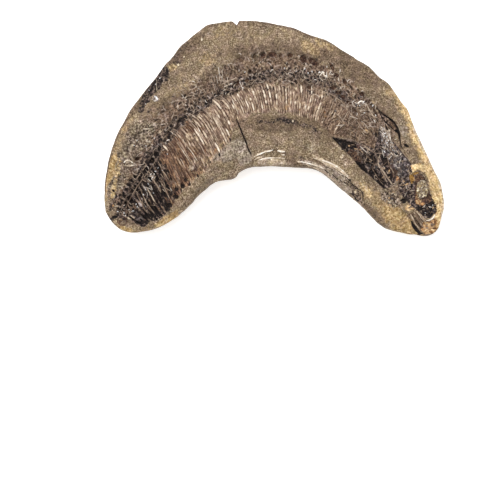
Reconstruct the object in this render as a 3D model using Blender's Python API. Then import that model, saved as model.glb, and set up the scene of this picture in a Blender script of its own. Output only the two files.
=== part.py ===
# One half of a split stone nodule with a fossil fish curled on its face.
# The stone lies on its rounded back and the fish looks up.
# Metres, +Z up. The origin is the middle of the stone's box, on the table.

import bpy
import bmesh
import numpy as np

mm = 0.001

# Driving sizes, in millimetres
RIM_HEIGHT = 9.8          # the stone's widest line above the table
FACE_HEIGHT = 13.8        # the split face, before its relief
EDGE_DROP = 1.2           # how far the face falls to its own edge
FOOT_SCALE = 0.38         # the flat the stone rests on, as a share of its half width
FACE_SCALE = 0.968        # the edge of the face, as a share of its half width
END_SHARE = 0.08          # the length at each end where the sides close round one point

LIP_RISE = 1.3            # the smooth lobe of stone that the fish curls round
BAND_SINK = 0.7           # the bed of ribs and scales
LEDGE_SINK = 1.5          # the broken layers along the inner edge
HEAD_RISE = 1.1           # the skull
EYE_RISE = 0.6

ALONG = 66                # faces from tail to head
ACROSS = 20               # faces from the inner edge to the outer edge

# Sections across the stone from tail to head, in millimetres. Each crosses
# the inner edge, the belly, the flank, the back of the fish and the outer edge.
SECTIONS = (
    ((-47.9, -36.6), (-50.8, -36.4), (-53.9, -35.1), (-56.9, -32.0), (-58.8, -28.9)),
    ((-40.6, -35.0), (-43.8, -32.7), (-51.4, -25.9), (-57.6, -22.8), (-59.5, -21.0)),
    ((-33.9, -30.8), (-36.8, -28.3), (-44.4, -15.4), (-54.6, -13.3), (-58.3, -11.9)),
    ((-27.6, -25.5), (-30.8, -21.3), (-37.8, -4.5), (-49.7, -3.1), (-55.1, -2.1)),
    ((-21.7, -20.1), (-22.8, -14.0), (-29.7, 3.1), (-41.3, 5.9), (-49.0, 8.0)),
    ((-14.0, -17.8), (-15.7, -5.9), (-21.3, 8.8), (-31.1, 14.3), (-40.6, 19.2)),
    ((-11.4, -15.2), (-12.9, 1.4), (-16.8, 11.0), (-25.2, 18.2), (-36.2, 24.8)),
    ((-4.2, -13.5), (-5.2, 5.4), (-7.0, 14.2), (-12.6, 25.0), (-23.4, 35.9)),
    ((4.9, -13.6), (3.8, 5.9), (3.1, 15.2), (0.0, 28.3), (-4.9, 37.7)),
    ((13.3, -14.5), (12.2, 3.1), (13.6, 13.6), (12.6, 25.7), (14.7, 31.8)),
    ((21.3, -19.4), (19.9, -3.1), (24.1, 8.0), (24.8, 19.2), (31.8, 22.4)),
    ((28.7, -25.8), (28.3, -11.2), (33.9, -1.0), (35.7, 8.8), (44.8, 9.1)),
    ((31.8, -29.2), (32.2, -15.2), (37.8, -6.3), (40.9, 3.5), (48.6, 1.4)),
    ((38.5, -34.6), (39.9, -23.1), (44.1, -17.1), (47.6, -11.2), (55.8, -14.0)),
    ((46.2, -36.9), (46.5, -30.8), (51.1, -28.3), (56.2, -22.8), (59.4, -26.2)),
    ((49.7, -37.3), (52.5, -37.8), (55.3, -37.3), (57.6, -35.2), (58.8, -31.5)),
)

STONE_COLOUR = (0.20, 0.15, 0.10, 1.0)


def smooth_step(low, high, value):
    """0 below low, 1 above high, with a smooth rise between."""
    share = np.clip((value - low) / (high - low), 0.0, 1.0)
    return share * share * (3.0 - 2.0 * share)


def bump(centre, width, value):
    """A round bump of height 1 at centre that fades out over width."""
    return np.exp(-((value - centre) / width) ** 2)


def spline(points, places):
    """A Catmull-Rom curve through the points, read at places (0 is the first point)."""
    points = np.asarray(points, float)
    last = len(points) - 1
    ends = [2 * points[0] - points[1]], points, [2 * points[-1] - points[-2]]
    padded = np.concatenate(ends)
    step = np.minimum(places.astype(int), last - 1)
    share = (places - step).reshape((-1,) + (1,) * (points.ndim - 1))
    p0, p1, p2, p3 = (padded[step + k] for k in range(4))
    return 0.5 * (2 * p1 + (p2 - p0) * share
                  + (2 * p0 - 5 * p1 + 4 * p2 - p3) * share ** 2
                  + (3 * p1 - p0 - 3 * p2 + p3) * share ** 3)


def even_places():
    """Places along the sections that are evenly spaced along the flank."""
    fine = np.linspace(0, len(SECTIONS) - 1, 2001)
    flank = spline(SECTIONS, fine)[:, 2]
    run = np.concatenate([[0], np.cumsum(np.linalg.norm(np.diff(flank, axis=0), axis=1))])
    return np.interp(np.linspace(0, run[-1], ALONG + 1), run, fine)


def face_plan():
    """The face in plan: a grid of points from tail to head and inner to outer edge."""
    lines = spline(SECTIONS, even_places())
    across = spline(lines.transpose(1, 0, 2), np.linspace(0, 4, ACROSS + 1))
    return across.transpose(1, 0, 2)


def face_relief(along, line):
    """Height of the relief over the face. along runs 0 to 1 from tail to head,
    line runs 0 to 4 over the inner edge, belly, flank, back and outer edge."""
    lip = LIP_RISE * (1 - smooth_step(0.85, 1.1, line))
    lip = lip * smooth_step(0.12, 0.35, along) * (1 - smooth_step(0.8, 0.95, along))
    band = -BAND_SINK * smooth_step(0.9, 1.2, line) * (1 - smooth_step(2.7, 3.2, line))
    ledge = -LEDGE_SINK * (1 - smooth_step(0.1, 0.35, line))
    ledge = ledge * smooth_step(0.42, 0.5, along) * (1 - smooth_step(0.7, 0.82, along))
    head = HEAD_RISE * bump(0.86, 0.1, along) * bump(2.3, 0.9, line)
    eye = EYE_RISE * bump(0.94, 0.025, along) * bump(2.5, 0.5, line)
    return lip + band + ledge + head + eye


def outline_loop(grid):
    """The border of the grid as one loop: inner edge, head, outer edge, tail."""
    inner = grid[:-1, 0]
    head = grid[-1, :-1]
    outer = grid[:0:-1, -1]
    tail = grid[0, :0:-1]
    return np.concatenate([inner, head, outer, tail])


def grid_indices():
    return np.arange((ALONG + 1) * (ACROSS + 1)).reshape(ALONG + 1, ACROSS + 1)


def stone_points():
    """All points of the stone: the face grid, then the rings of its side and back."""
    plan = face_plan()
    along = np.repeat(np.linspace(0, 1, ALONG + 1)[:, None], ACROSS + 1, axis=1)
    line = np.repeat(np.linspace(0, 4, ACROSS + 1)[None, :], ALONG + 1, axis=0)

    # Every section shrinks round a point on the middle of the stone.
    middle = 0.5 * (plan[:, 0] + plan[:, -1])
    share = np.clip(np.linspace(0, 1, ALONG + 1), END_SHARE, 1 - END_SHARE) * ALONG
    low = np.minimum(share.astype(int), ALONG - 1)
    centre = middle[low] + (middle[low + 1] - middle[low]) * (share - low)[:, None]
    centre = np.repeat(centre[:, None, :], ACROSS + 1, axis=1)

    border = np.minimum(np.minimum(line, 4 - line) / 1.2, np.minimum(along, 1 - along) / 0.06)
    height = FACE_HEIGHT + face_relief(along, line) * smooth_step(0, 0.5, border)
    height = height - EDGE_DROP * (1 - smooth_step(0, 0.8, border))

    face = np.dstack([centre + FACE_SCALE * (plan - centre), height])
    outline = outline_loop(plan)
    hub = outline_loop(centre)
    top = outline_loop(height)

    # The shoulder turns from the face to the widest line, a quarter of an ellipse.
    rings = []
    for turn in np.radians((30, 60, 90)):
        scale = FACE_SCALE + (1 - FACE_SCALE) * np.sin(turn)
        level = RIM_HEIGHT + (top - RIM_HEIGHT) * np.cos(turn)
        rings.append(np.column_stack([hub + scale * (outline - hub), level]))
    # The back turns from the widest line to the flat foot, another quarter.
    for turn in np.radians((20, 40, 60, 78, 90)):
        scale = FOOT_SCALE + (1 - FOOT_SCALE) * np.cos(turn)
        level = np.full(len(outline), RIM_HEIGHT * (1 - np.sin(turn)))
        rings.append(np.column_stack([hub + scale * (outline - hub), level]))

    points = np.concatenate([face.reshape(-1, 3)] + rings)
    points[:, :2] -= 0.5 * (points[:, :2].min(axis=0) + points[:, :2].max(axis=0))
    return points * mm, len(rings)


def build_nodule_half():
    points, ring_count = stone_points()
    grid = grid_indices()
    loop = outline_loop(grid)
    ring_size = len(loop)
    first = grid.size

    body = bmesh.new()
    verts = [body.verts.new(point) for point in points]

    for i in range(ALONG):
        for j in range(ACROSS):
            corners = grid[i, j], grid[i + 1, j], grid[i + 1, j + 1], grid[i, j + 1]
            body.faces.new([verts[k] for k in corners])

    rings = [list(loop)]
    for ring in range(ring_count):
        start = first + ring * ring_size
        rings.append(list(range(start, start + ring_size)))
    for upper, lower in zip(rings, rings[1:]):
        for k in range(ring_size):
            after = (k + 1) % ring_size
            corners = upper[k], lower[k], lower[after], upper[after]
            body.faces.new([verts[c] for c in corners])
    body.faces.new([verts[c] for c in reversed(rings[-1])])

    bmesh.ops.recalc_face_normals(body, faces=body.faces)
    mesh = bpy.data.meshes.new("nodule_half")
    body.to_mesh(mesh)
    body.free()
    mesh.shade_smooth()
    mesh.set_sharp_from_angle(angle=np.radians(50))
    stone = bpy.data.objects.new("nodule_half", mesh)
    bpy.context.scene.collection.objects.link(stone)
    return stone


def stone_material():
    material = bpy.data.materials.new("stone")
    material.use_nodes = True
    shader = material.node_tree.nodes["Principled BSDF"]
    shader.inputs["Base Color"].default_value = STONE_COLOUR
    shader.inputs["Roughness"].default_value = 0.7
    shader.inputs["Metallic"].default_value = 0.0
    return material


def main():
    for old in list(bpy.data.objects):
        bpy.data.objects.remove(old, do_unlink=True)
    stone = build_nodule_half()
    stone.data.materials.append(stone_material())


main()
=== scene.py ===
import bpy
import numpy as np
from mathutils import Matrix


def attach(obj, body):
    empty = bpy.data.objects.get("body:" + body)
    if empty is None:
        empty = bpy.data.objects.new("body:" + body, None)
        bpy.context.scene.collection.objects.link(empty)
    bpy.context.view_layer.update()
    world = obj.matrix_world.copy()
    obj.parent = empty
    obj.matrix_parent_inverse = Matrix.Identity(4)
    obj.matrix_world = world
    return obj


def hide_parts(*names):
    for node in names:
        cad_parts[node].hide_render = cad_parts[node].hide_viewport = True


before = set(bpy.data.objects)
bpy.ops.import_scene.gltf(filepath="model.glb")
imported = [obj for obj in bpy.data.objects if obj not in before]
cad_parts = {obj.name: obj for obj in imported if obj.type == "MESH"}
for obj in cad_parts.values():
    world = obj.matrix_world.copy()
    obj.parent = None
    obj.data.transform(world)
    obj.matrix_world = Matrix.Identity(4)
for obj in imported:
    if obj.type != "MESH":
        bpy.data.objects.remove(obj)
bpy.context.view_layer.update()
mm = 0.001

# Sections across the stone from tail to head, in millimetres. Each crosses
# the inner edge, the belly, the flank, the back of the fish and the outer edge.
sections = (
    ((-47.9, -36.6), (-50.8, -36.5), (-54.1, -35.4), (-57.3, -32.4), (-59.2, -29.2)),
    ((-40.6, -35), (-43.8, -32.7), (-51.4, -25.9), (-57.6, -22.8), (-59.5, -21)),
    ((-33.9, -30.8), (-36.8, -28.3), (-44.4, -15.4), (-54.6, -13.3), (-58.3, -11.9)),
    ((-27.6, -25.5), (-30.8, -21.3), (-37.8, -4.5), (-49.7, -3.1), (-55.1, -2.1)),
    ((-21.7, -20.1), (-22.8, -14), (-29.7, 3.1), (-41.3, 5.9), (-49, 8)),
    ((-14, -17.8), (-15.7, -5.9), (-21.3, 8.8), (-31.1, 14.3), (-40.6, 19.2)),
    ((-11.4, -15.2), (-12.9, 1.4), (-16.8, 11), (-25.2, 18.2), (-36.2, 24.8)),
    ((-4.2, -13.5), (-5.2, 5.4), (-7, 14.2), (-12.6, 25), (-23.4, 35.9)),
    ((4.9, -13.6), (3.8, 5.9), (3.1, 15.2), (0, 28.3), (-4.9, 37.7)),
    ((13.3, -14.5), (12.2, 3.1), (13.6, 13.6), (12.6, 25.7), (14.7, 31.8)),
    ((21.3, -19.4), (19.9, -3.1), (24.1, 8), (24.8, 19.2), (31.8, 22.4)),
    ((28.7, -25.8), (28.3, -11.2), (33.9, -1), (35.7, 8.8), (44.8, 9.1)),
    ((31.8, -29.2), (32.2, -15.2), (37.8, -6.3), (40.9, 3.5), (48.6, 1.4)),
    ((38.5, -34.6), (39.9, -23.1), (44.1, -17.1), (47.6, -11.2), (55.8, -14)),
    ((46.2, -36.9), (46.5, -30.8), (51.1, -28.3), (56.2, -22.8), (59.4, -26.2)),
    ((49.7, -37.3), (52.5, -37.8), (55.3, -37.3), (57.6, -35.2), (58.8, -31.5)),
)

# Lengths in mm. A place along is 0 at the tail and 1 at the head; a line across is 0 at the inner
# edge, 2 on the flank and 4 at the outer edge. Four numbers for a band are where it starts, is
# full, begins to fade and ends.
stone = {
    "along": 620,                           # faces from tail to head
    "across": 122,                          # faces from the inner edge to the outer edge
    "rimHeight": 9.8,                       # the widest line of the stone above the table
    "faceHeight": 13.8,                     # the split face, before its relief
    "edgeDrop": 1.2,
    "footScale": 0.38,                      # the flat it rests on, as a share of its half width
    "faceScale": 0.968,                     # the edge of the face, as a share of its half width
    "endShare": 0.08,                       # no section shrinks to a point nearer an end than this
    # broad relief: height, band along, band across
    "forms": (
        (1.3, (0.12, 0.35, 0.8, 0.95), (-2, -1, 0.85, 1.1)),        # the lobe
        (-0.7, (-2, -1, 2, 3), (0.9, 1.2, 2.7, 3.2)),               # the bed of ribs and scales
        (-1.5, (0.42, 0.5, 0.7, 0.82), (-2, -1, 0.1, 0.35)),        # the broken ledges
    ),
    # the skull and the eye: height, place along and its width, line across and its width
    "mounds": ((1.1, 0.86, 0.1, 2.3, 0.9), (0.6, 0.94, 0.025, 2.5, 0.5)),
    "grain": ((2.2, 0.16), (0.8, 0.1)),     # size and height of the bumps of the face
    "lumps": (6.0, 0.9),                    # and of those of the back
    "shoulder": (30, 60, 90),               # angles of the rings over the rim, in degrees
    "back": 16,                             # rings under it
    # how much of each paint the weathered side of the stone carries, in broad patches
    "skin": {"rind": 0.5, "shade": 0.45, "gold": 0.4, "slate": 0.3},
}
rows, columns = stone["along"], stone["across"]


# an S-curve, 3t^2 - 2t^3, that is 0 below low and 1 above high
def fade(low, high, value):
    t = np.clip((value - low) / (high - low), 0.0, 1.0)
    return t * t * (3.0 - 2.0 * t)


# rises from 0 to 1 between a and b and falls to 0 between c and d, with the same S-curve
def plateau(a, b, c, d, value):
    return fade(a, b, value) * (1 - fade(c, d, value))


# the bell curve exp(-t^2), where t is the distance from centre over width
def bell(centre, width, value):
    return np.exp(-((value - centre) / width) ** 2)


# Catmull-Rom: a cubic between each two points, with the slope of their neighbours' chord
def spline(points, places):
    points = np.asarray(points, float)
    last = len(points) - 1
    padded = np.concatenate([[2 * points[0] - points[1]], points, [2 * points[-1] - points[-2]]])
    step = np.clip(places.astype(int), 0, last - 1)
    t = (places - step).reshape((-1,) + (1,) * (points.ndim - 1))
    p0, p1, p2, p3 = (padded[step + k] for k in range(4))
    return 0.5 * (2 * p1 + (p2 - p0) * t + (2 * p0 - 5 * p1 + 4 * p2 - p3) * t ** 2
                  + (3 * p1 - p0 - 3 * p2 + p3) * t ** 3)


# the corners of a grid's cells, blended by the shares s and t
def blend(grid, i, j, nextI, nextJ, s, t):
    low = grid[i, j] * (1 - s) + grid[nextI, j] * s
    high = grid[i, nextJ] * (1 - s) + grid[nextI, nextJ] * s
    return low * (1 - t) + high * t


# random heights from -1 to 1 on a square lattice of that size, eased between its corners
def softNoise(x, y, size, seed):
    lattice = np.random.default_rng(seed).uniform(-1, 1, (256, 256))
    column, row = np.floor(x / size), np.floor(y / size)
    i, j = column.astype(int) % 256, row.astype(int) % 256
    return blend(lattice, i, j, (i + 1) % 256, (j + 1) % 256,
                 fade(0, 1, x / size - column), fade(0, 1, y / size - row))


# three layers of soft noise, each half the size and half the height of the last
def roughNoise(x, y, size, seed):
    return sum(softNoise(x, y, size / 2 ** k, seed + k) / 2 ** k for k in range(3)) / 1.75


# distance from each point to the nearest spot of a jittered square lattice, the distance
# to the second nearest, and a random number from 0 to 1 that belongs to the nearest spot
def cells(a, b, jitter, seed):
    rng = np.random.default_rng(seed)
    offset = rng.uniform(-jitter, jitter, (2, 256, 256))
    tone = rng.uniform(0, 1, (256, 256))
    column, row = np.floor(a), np.floor(b)
    first = np.full(np.shape(a), 9.0)
    second = first.copy()
    own = np.zeros(np.shape(a))
    for di in (-1, 0, 1):
        for dj in (-1, 0, 1):
            i, j = (column + di).astype(int) % 256, (row + dj).astype(int) % 256
            gap = np.hypot(column + di + 0.5 + offset[0, i, j] - a, row + dj + 0.5 + offset[1, i, j] - b)
            nearer = gap < first
            second = np.where(nearer, first, np.minimum(second, gap))
            own = np.where(nearer, tone[i, j], own)
            first = np.where(nearer, gap, first)
    return first, second, own


# distance from each point to the piece of line that leaves start by way, and how far along it, 0 to 1
def lineField(x, y, start, way):
    t = np.clip(((x - start[0]) * way[0] + (y - start[1]) * way[1]) / (way @ way), 0, 1)
    return np.hypot(x - start[0] - t * way[0], y - start[1] - t * way[1]), t


# distance from each point to a smooth path and how far along the path that is, from 0 to 1
def pathField(x, y, path, count=40):
    line = spline(path, np.linspace(0, len(path) - 1, count))
    gap, share = np.full(x.shape, 99.0), np.zeros(x.shape)
    for k, (start, way) in enumerate(zip(line, np.diff(line, axis=0))):
        here, t = lineField(x, y, start, way)
        share = np.where(here < gap, (k + t) / (count - 1), share)
        gap = np.minimum(gap, here)
    return gap, share


# 1 on a smooth path, falling to 0 at its width, narrower towards both ends
def stroke(x, y, path, width, taper=0.35):
    gap, share = pathField(x, y, path)
    here = width * (1 - taper + taper * np.sin(np.pi * share))
    return 1 - fade(0.3 * here, here, gap)


# 1 inside an ellipse, falling to 0 over the soft share of its radius; the shape is its
# centre, its half sizes and its turn in degrees
def spot(x, y, shape, soft):
    cx, cy, sizeA, sizeB, turn = shape
    c, s = np.cos(np.radians(turn)), np.sin(np.radians(turn))
    a, b = ((x - cx) * c + (y - cy) * s) / sizeA, ((y - cy) * c - (x - cx) * s) / sizeB
    return 1 - fade(1 - soft, 1 + soft, np.hypot(a, b))


# 1 inside a many-sided outline, 0 outside, from the distance to its nearest side
def area(x, y, corners, soft=0.3):
    corners = np.asarray(corners, float)
    gap, within = np.full(x.shape, 99.0), np.zeros(x.shape, bool)
    for start, end in zip(corners, np.roll(corners, -1, axis=0)):
        way = end - start
        gap = np.minimum(gap, lineField(x, y, start, way)[0])
        passes = (start[1] > y) != (end[1] > y)
        within ^= passes & (x < start[0] + (y - start[1]) * way[0] / (way[1] or 1e-9))
    return fade(-soft, soft, np.where(within, gap, -gap))


# places along the sections that are evenly spaced along the flank, and the flank's length
def evenPlaces(count):
    fine = np.linspace(0, len(sections) - 1, 4001)
    steps = np.diff(spline(sections, fine)[:, 2], axis=0)
    run = np.concatenate([[0], np.cumsum(np.linalg.norm(steps, axis=1))])
    return np.interp(np.linspace(0, run[-1], count + 1), run, fine), run[-1]


places, flankLength = evenPlaces(rows)
plan = spline(spline(sections, places).transpose(1, 0, 2), np.linspace(0, 4, columns + 1))
plan = plan.transpose(1, 0, 2)
along, line = np.meshgrid(np.linspace(0, 1, rows + 1), np.linspace(0, 4, columns + 1), indexing="ij")

# small chips along the edge and one notch at the top, cut towards the middle of the stone
edge = {
    "chips": ((5.0, 0.22, 9), (1.4, 0.08, 10)),      # size, height and seed
    "notch": (-13.5, 0.75, 1.5),                     # place, width and depth
    # swellings: centre, width and height
    "bumps": (
        (-23.4, 36, 2.4, 0.5), (-32.9, 28.7, 2.6, 0.45), (8, 35, 4, 0.5), (33.6, 21.7, 4, 0.45),
        (39.9, 16.1, 2.6, 0.7), (43.4, 11.2, 3, 0.35), (-35.7, 23.8, 2, -0.3), (57, -35.3, 1.6, 0.5),
        (-19.2, -19.6, 3.4, -0.8), (-8, -14.3, 2.6, -0.5), (-59.5, -26.2, 2.5, 0.4),
        (58.4, -20.3, 5.5, 0.8), (18.5, 30.1, 4.5, 0.8), (16.8, -16.1, 5, -0.55), (31.5, -28.7, 4, -0.7),
        (-26.6, -24.1, 3, -0.6), (40.9, 14, 3, 0.5), (47.2, 3.8, 4, 0.6), (-49.3, 7.3, 4, 0.3),
    ),
}
inward = 0.5 * (plan[:, :1] + plan[:, -1:]) - plan
inward /= np.maximum(np.linalg.norm(inward, axis=2, keepdims=True), 1.0)
nearEdge = fade(0.8, 1.0, np.abs(line - 2) / 2) * fade(0, 0.05, along) * fade(0, 0.05, 1 - along)
x, y = plan[..., 0], plan[..., 1]
cut = sum(height * roughNoise(x, y, size, seed) for size, height, seed in edge["chips"])
for cx, cy, width, height in edge["bumps"]:
    cut -= height * np.exp(-((x - cx) ** 2 + (y - cy) ** 2) / width ** 2)
place, width, depth = edge["notch"]
cut = nearEdge * cut + depth * bell(place, width, x) * fade(3.8, 4.0, line)
plan = plan + inward * cut[..., None]

# every section shrinks round a point on the middle of the stone
middle = 0.5 * (plan[:, 0] + plan[:, -1])
hubShare = np.clip(along[:, 0], stone["endShare"], 1 - stone["endShare"])
hubLine = np.stack([np.interp(hubShare, along[:, 0], middle[:, k]) for k in (0, 1)], axis=1)
hub = np.repeat(hubLine[:, None, :], columns + 1, axis=1)
facePlan = hub + stone["faceScale"] * (plan - hub)
x, y = facePlan[..., 0], facePlan[..., 1]

# distances in mm: run along the flank line, rise across it, reach and outer from the two edges
run = along * flankLength
widths = np.linalg.norm(np.diff(plan, axis=1), axis=2)
reach = np.concatenate([np.zeros((len(plan), 1)), np.cumsum(widths, axis=1)], axis=1)
rise = reach - reach[:, columns // 2, None]
outer = reach[:, -1:] - reach
print("plan", plan.shape, "flank", round(flankLength, 1), "mm")


# soft noise over the face
def waves(size, seed):
    return softNoise(x, y, size, seed)


# edges that wander a little, for everything that is painted or sunk into the face
wx = x + 0.5 * waves(2.4, 11) + 0.25 * waves(0.9, 12)
wy = y + 0.5 * waves(2.4, 13) + 0.25 * waves(0.9, 14)
wline = line + 0.09 * waves(3.0, 15) + 0.05 * waves(1.0, 16)


# the broad relief: the sum of each form's height times its two bands, and of the two mounds
relief = sum(height * plateau(*bandAlong, along) * plateau(*bandAcross, line)
             for height, bandAlong, bandAcross in stone["forms"])
relief = relief + sum(height * bell(place, wide, along) * bell(across, high, line)
                      for height, place, wide, across, high in stone["mounds"])
masks = {name: np.zeros(x.shape) for name in (
    "rind", "gold", "shade", "flesh", "russet", "vein", "bed", "pebble", "scales", "bone",
    "lilac", "horn", "den", "straw", "honey", "rust", "amber", "cream", "slate", "hole")}


# lays a mask over what is there and sinks or lifts the face with it
def lay(name, mask, strength=1.0, lift=0.0):
    masks[name] = np.maximum(masks[name], mask * strength)
    relief[...] += mask * lift


# takes the named masks down by the share that another mask gives
def fadeOut(names, mask):
    for name in names:
        masks[name] *= 1 - mask


fish = {
    "vein": ((-52.1, -27.3), (-49, -20.6), (-44.8, -12.9), (-39.9, -5.2), (-33.6, 1.8), (-27.3, 7),
             (-18.9, 12.2), (-10.1, 16.4), (-1.4, 18.5), (9.1, 18.5), (17.8, 15.7), (24.8, 10.8),
             (30.8, 5.6)),
    "veinWidth": (3.2, 2.5),          # at the tail and at the head
    "ribEnds": (0.03, 0.69),          # the ribs' first and last place along the flank
    "ribPitch": 1.95,
    "ribLean": 0.17,                  # how far the ribs lean to the head, per mm down
    "ribLift": 0.18,
    "scale": (2.7, 2.1),              # the two diagonals of a scale
    "brown": (-41.0, -34.5),          # across the stone, where the black of the tail turns brown
    # bands across and along
    "ribLines": (0.9, 1.08, 2.0, 2.35),
    "scaleLines": (1.95, 2.1, 2.6, 3.3), "scaleAlong": (0.02, 0.05, 0.78, 0.84),
    "pebbleLines": (2.3, 2.6, 3.5, 3.9), "pebbleAlong": (0.05, 0.09, 0.22, 0.32),
    "keelAlong": (0.03, 0.06, 0.36, 0.42), "goldAlong": (0.2, 0.26, 0.36, 0.42),
    "russetAlong": (0.24, 0.33),
    "tail": ((-55.3, -28.7), (-53.5, -23.8), (-51.4, -20.3), (-49, -16.8), (-46.5, -13.6), (-43.8, -10.5),
             (-41.3, -8.4), (-39.2, -10.5), (-37.1, -14.7), (-35, -19.6), (-33.9, -24.5), (-35.7, -29),
             (-38.5, -30.8), (-42.3, -32.9), (-45.5, -34.6), (-47.6, -34.5), (-50.4, -32.9),
             (-52.1, -33.6), (-54.2, -31.8), (-56, -30.8)),
    "spine": ((-54.2, -30.1), (-52.5, -25.9), (-50, -21.3), (-47.2, -17.1), (-44.8, -12.6), (-42, -8.8)),
}
ribCount = int((fish["ribEnds"][1] - fish["ribEnds"][0]) * flankLength / fish["ribPitch"])
ribRun = fish["ribEnds"][0] * flankLength + fish["ribPitch"] * (
    np.arange(ribCount) + np.random.default_rng(40).uniform(-0.22, 0.22, ribCount))


# how far the ribs bend sideways, in mm along the flank
def ribBend(run, rise):
    lean = fish["ribLean"] * plateau(22, 40, 66, 86, run)
    return lean * rise + 0.5 * softNoise(run, rise, 12.0, 22) + 0.2 * softNoise(run, rise, 4.0, 23)


# soft noise over the face, drawn out along the ribs
def streaks(stretch, size, seed):
    return softNoise(run, rise * stretch, size, seed)


# the number of ribs passed so far: whole on a rib, half between two ribs
phase = np.interp(run + ribBend(run, rise), ribRun, np.arange(ribCount))

# the scales: rhombs along the flank, a little out of line
scaleRun, scaleRise = run / fish["scale"][0], rise / fish["scale"][1]
nearest, second, scaleOwn = cells(scaleRun + scaleRise + 0.3 * waves(4.0, 33),
                                  scaleRun - scaleRise + 0.3 * waves(4.0, 34), 0.36, 35)
scaleEdge = second - nearest                # 0 on the rim between two scales


# the fish: each mask is a band across it times a band along it, broken up by noise that is drawn
# out along the ribs
def paintFish():
    first, last = fish["ribEnds"]
    ragged = 0.22 * streaks(0.2, 1.1, 20) + 0.12 * waves(3.0, 21)
    ribs = fade(*fish["ribLines"][:2], wline) * (1 - fade(*fish["ribLines"][2:], line + ragged))
    ribs = ribs * plateau(first - 0.02, first + 0.02, last - 0.08, last + 0.03, along)
    lay("flesh", ribs)
    lay("shade", bell(2.08, 0.16, wline) * ribs * fade(0.25, 0.4, along), 0.55)
    russet = (1 - fade(*fish["russetAlong"], along + 0.07 * waves(4.0, 24))) * ribs
    lay("russet", russet * (0.75 + 0.35 * streaks(0.25, 1.6, 25)))
    lay("russet", bell(0.63, 0.05, along) * ribs * (0.4 + 0.3 * streaks(0.3, 2.0, 19)))
    # a high and a low ridge to each rib: height is cos(2 pi phase) + cos(4 pi phase)
    turn = 2 * np.pi * phase
    relief[...] += fish["ribLift"] * ribs * 0.6 * (np.cos(turn) + np.cos(2 * turn))
    # black ground under the ribs of the tail, browner towards the body
    body = area(wx, wy, fish["tail"], 0.9)
    brown = fade(*fish["brown"], x + 3.0 * waves(2.5, 28))
    slots = 0.7 * streaks(0.3, 0.8, 29) + 0.5 * waves(1.3, 30) - 0.8 * np.cos(turn)
    lay("vein", body * (1.0 - 0.45 * brown) * (0.55 + 0.45 * fade(-0.9, 0.0, slots)), lift=-0.3)
    lay("hole", body * (1 - 0.7 * brown) * fade(-0.1, 0.6, slots), 0.9, -0.5)
    slots = fade(0.55, 1.2, slots) * ribs * fade(0.12, 0.17, along)
    lay("hole", slots * (1 - 0.6 * fade(0.28, 0.42, along)), 0.55, -0.2)
    # the dark band along the backbone
    gap, share = pathField(wx, wy, fish["vein"], 60)
    gap = gap / np.interp(share, (0, 1), fish["veinWidth"])
    vein = (1 - fade(0.35, 1.25, gap)) * fade(0.015, 0.04, along)
    vein = vein * (1 - 0.5 * fade(0.75, 1.0, share)) * (1 - 0.14 * bell(0.6, 0.16, share))
    vein = vein * (0.82 + 0.25 * waves(3.0, 31) + 0.25 * waves(1.1, 39))
    lay("vein", np.clip(vein, 0, 1), lift=-0.25)
    core = (1 - fade(0.15, 0.75, gap)) * fade(0.02, 0.05, along) * (1 - 0.5 * fade(0.5, 0.8, share))
    lay("hole", core * fade(-0.2, 0.5, waves(1.3, 8) + 0.4 * waves(3.0, 7)), 0.75, -0.2)
    # the bed of small scales above it: rhombs with raised rims and dark pits
    bed = plateau(*fish["scaleLines"], wline) * plateau(*fish["scaleAlong"], along)
    lay("bed", bed * (0.85 + 0.3 * waves(4.0, 32)))
    zone = np.clip(np.maximum(bed, vein), 0, 1)
    lay("scales", zone * (0.7 + 0.5 * waves(3.0, 36)))
    rim = 1 - fade(0.0, 0.3, scaleEdge)
    relief[...] += zone * (0.14 * rim - 0.4 * fade(0.25, 0.7, scaleEdge) * fade(0.45, 0.8, scaleOwn))
    pebble = plateau(*fish["pebbleLines"], wline) * plateau(*fish["pebbleAlong"], along)
    lay("pebble", pebble * (0.75 + 0.3 * waves(3.5, 18)))
    spine = stroke(wx, wy, fish["spine"], 0.7)
    fadeOut(("hole",), 0.7 * spine)
    relief[...] += 0.4 * spine
    # dark keels along the belly, from the tail to the lobe
    belly = bell(1.04, 0.13, line + 0.05 * waves(1.5, 37)) * plateau(*fish["keelAlong"], along)
    lay("hole", belly * fade(0.05, 0.6, streaks(0.45, 0.95, 38)), 0.65, -0.3)
    lay("russet", bell(0.93, 0.12, wline) * (1 - fade(0.34, 0.42, along)), 0.7)
    lay("gold", bell(1.13, 0.11, wline) * plateau(*fish["goldAlong"], along), 0.5)


# The weathered rind. A part's numbers are where along it ends or starts, how its inner edge fades,
# as shares of its width, its least width, what the width gains and where along it gains that.
rind = {
    "tail": ((0.22, 0.3), (0.45, 1.35), 0.9, 2.5, (0.02, 0.12)),
    "head": ((0.66, 0.78), (0.3, 1.3), 1.5, 2.2, (0.72, 0.86)),
    "golden": ((0.66, 0.76), (0.5, 1.1), 2.8, 2.8, (0.7, 0.84)),    # a wider band under the head's
    "foot": (1.2, 2.6), "footAlong": (0.13, 0.2),                   # at the inner edge of the tail
    "tip": (0.006, 0.016),
    "strawAlong": (0.03, 0.06, 0.14, 0.2),
}


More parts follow.
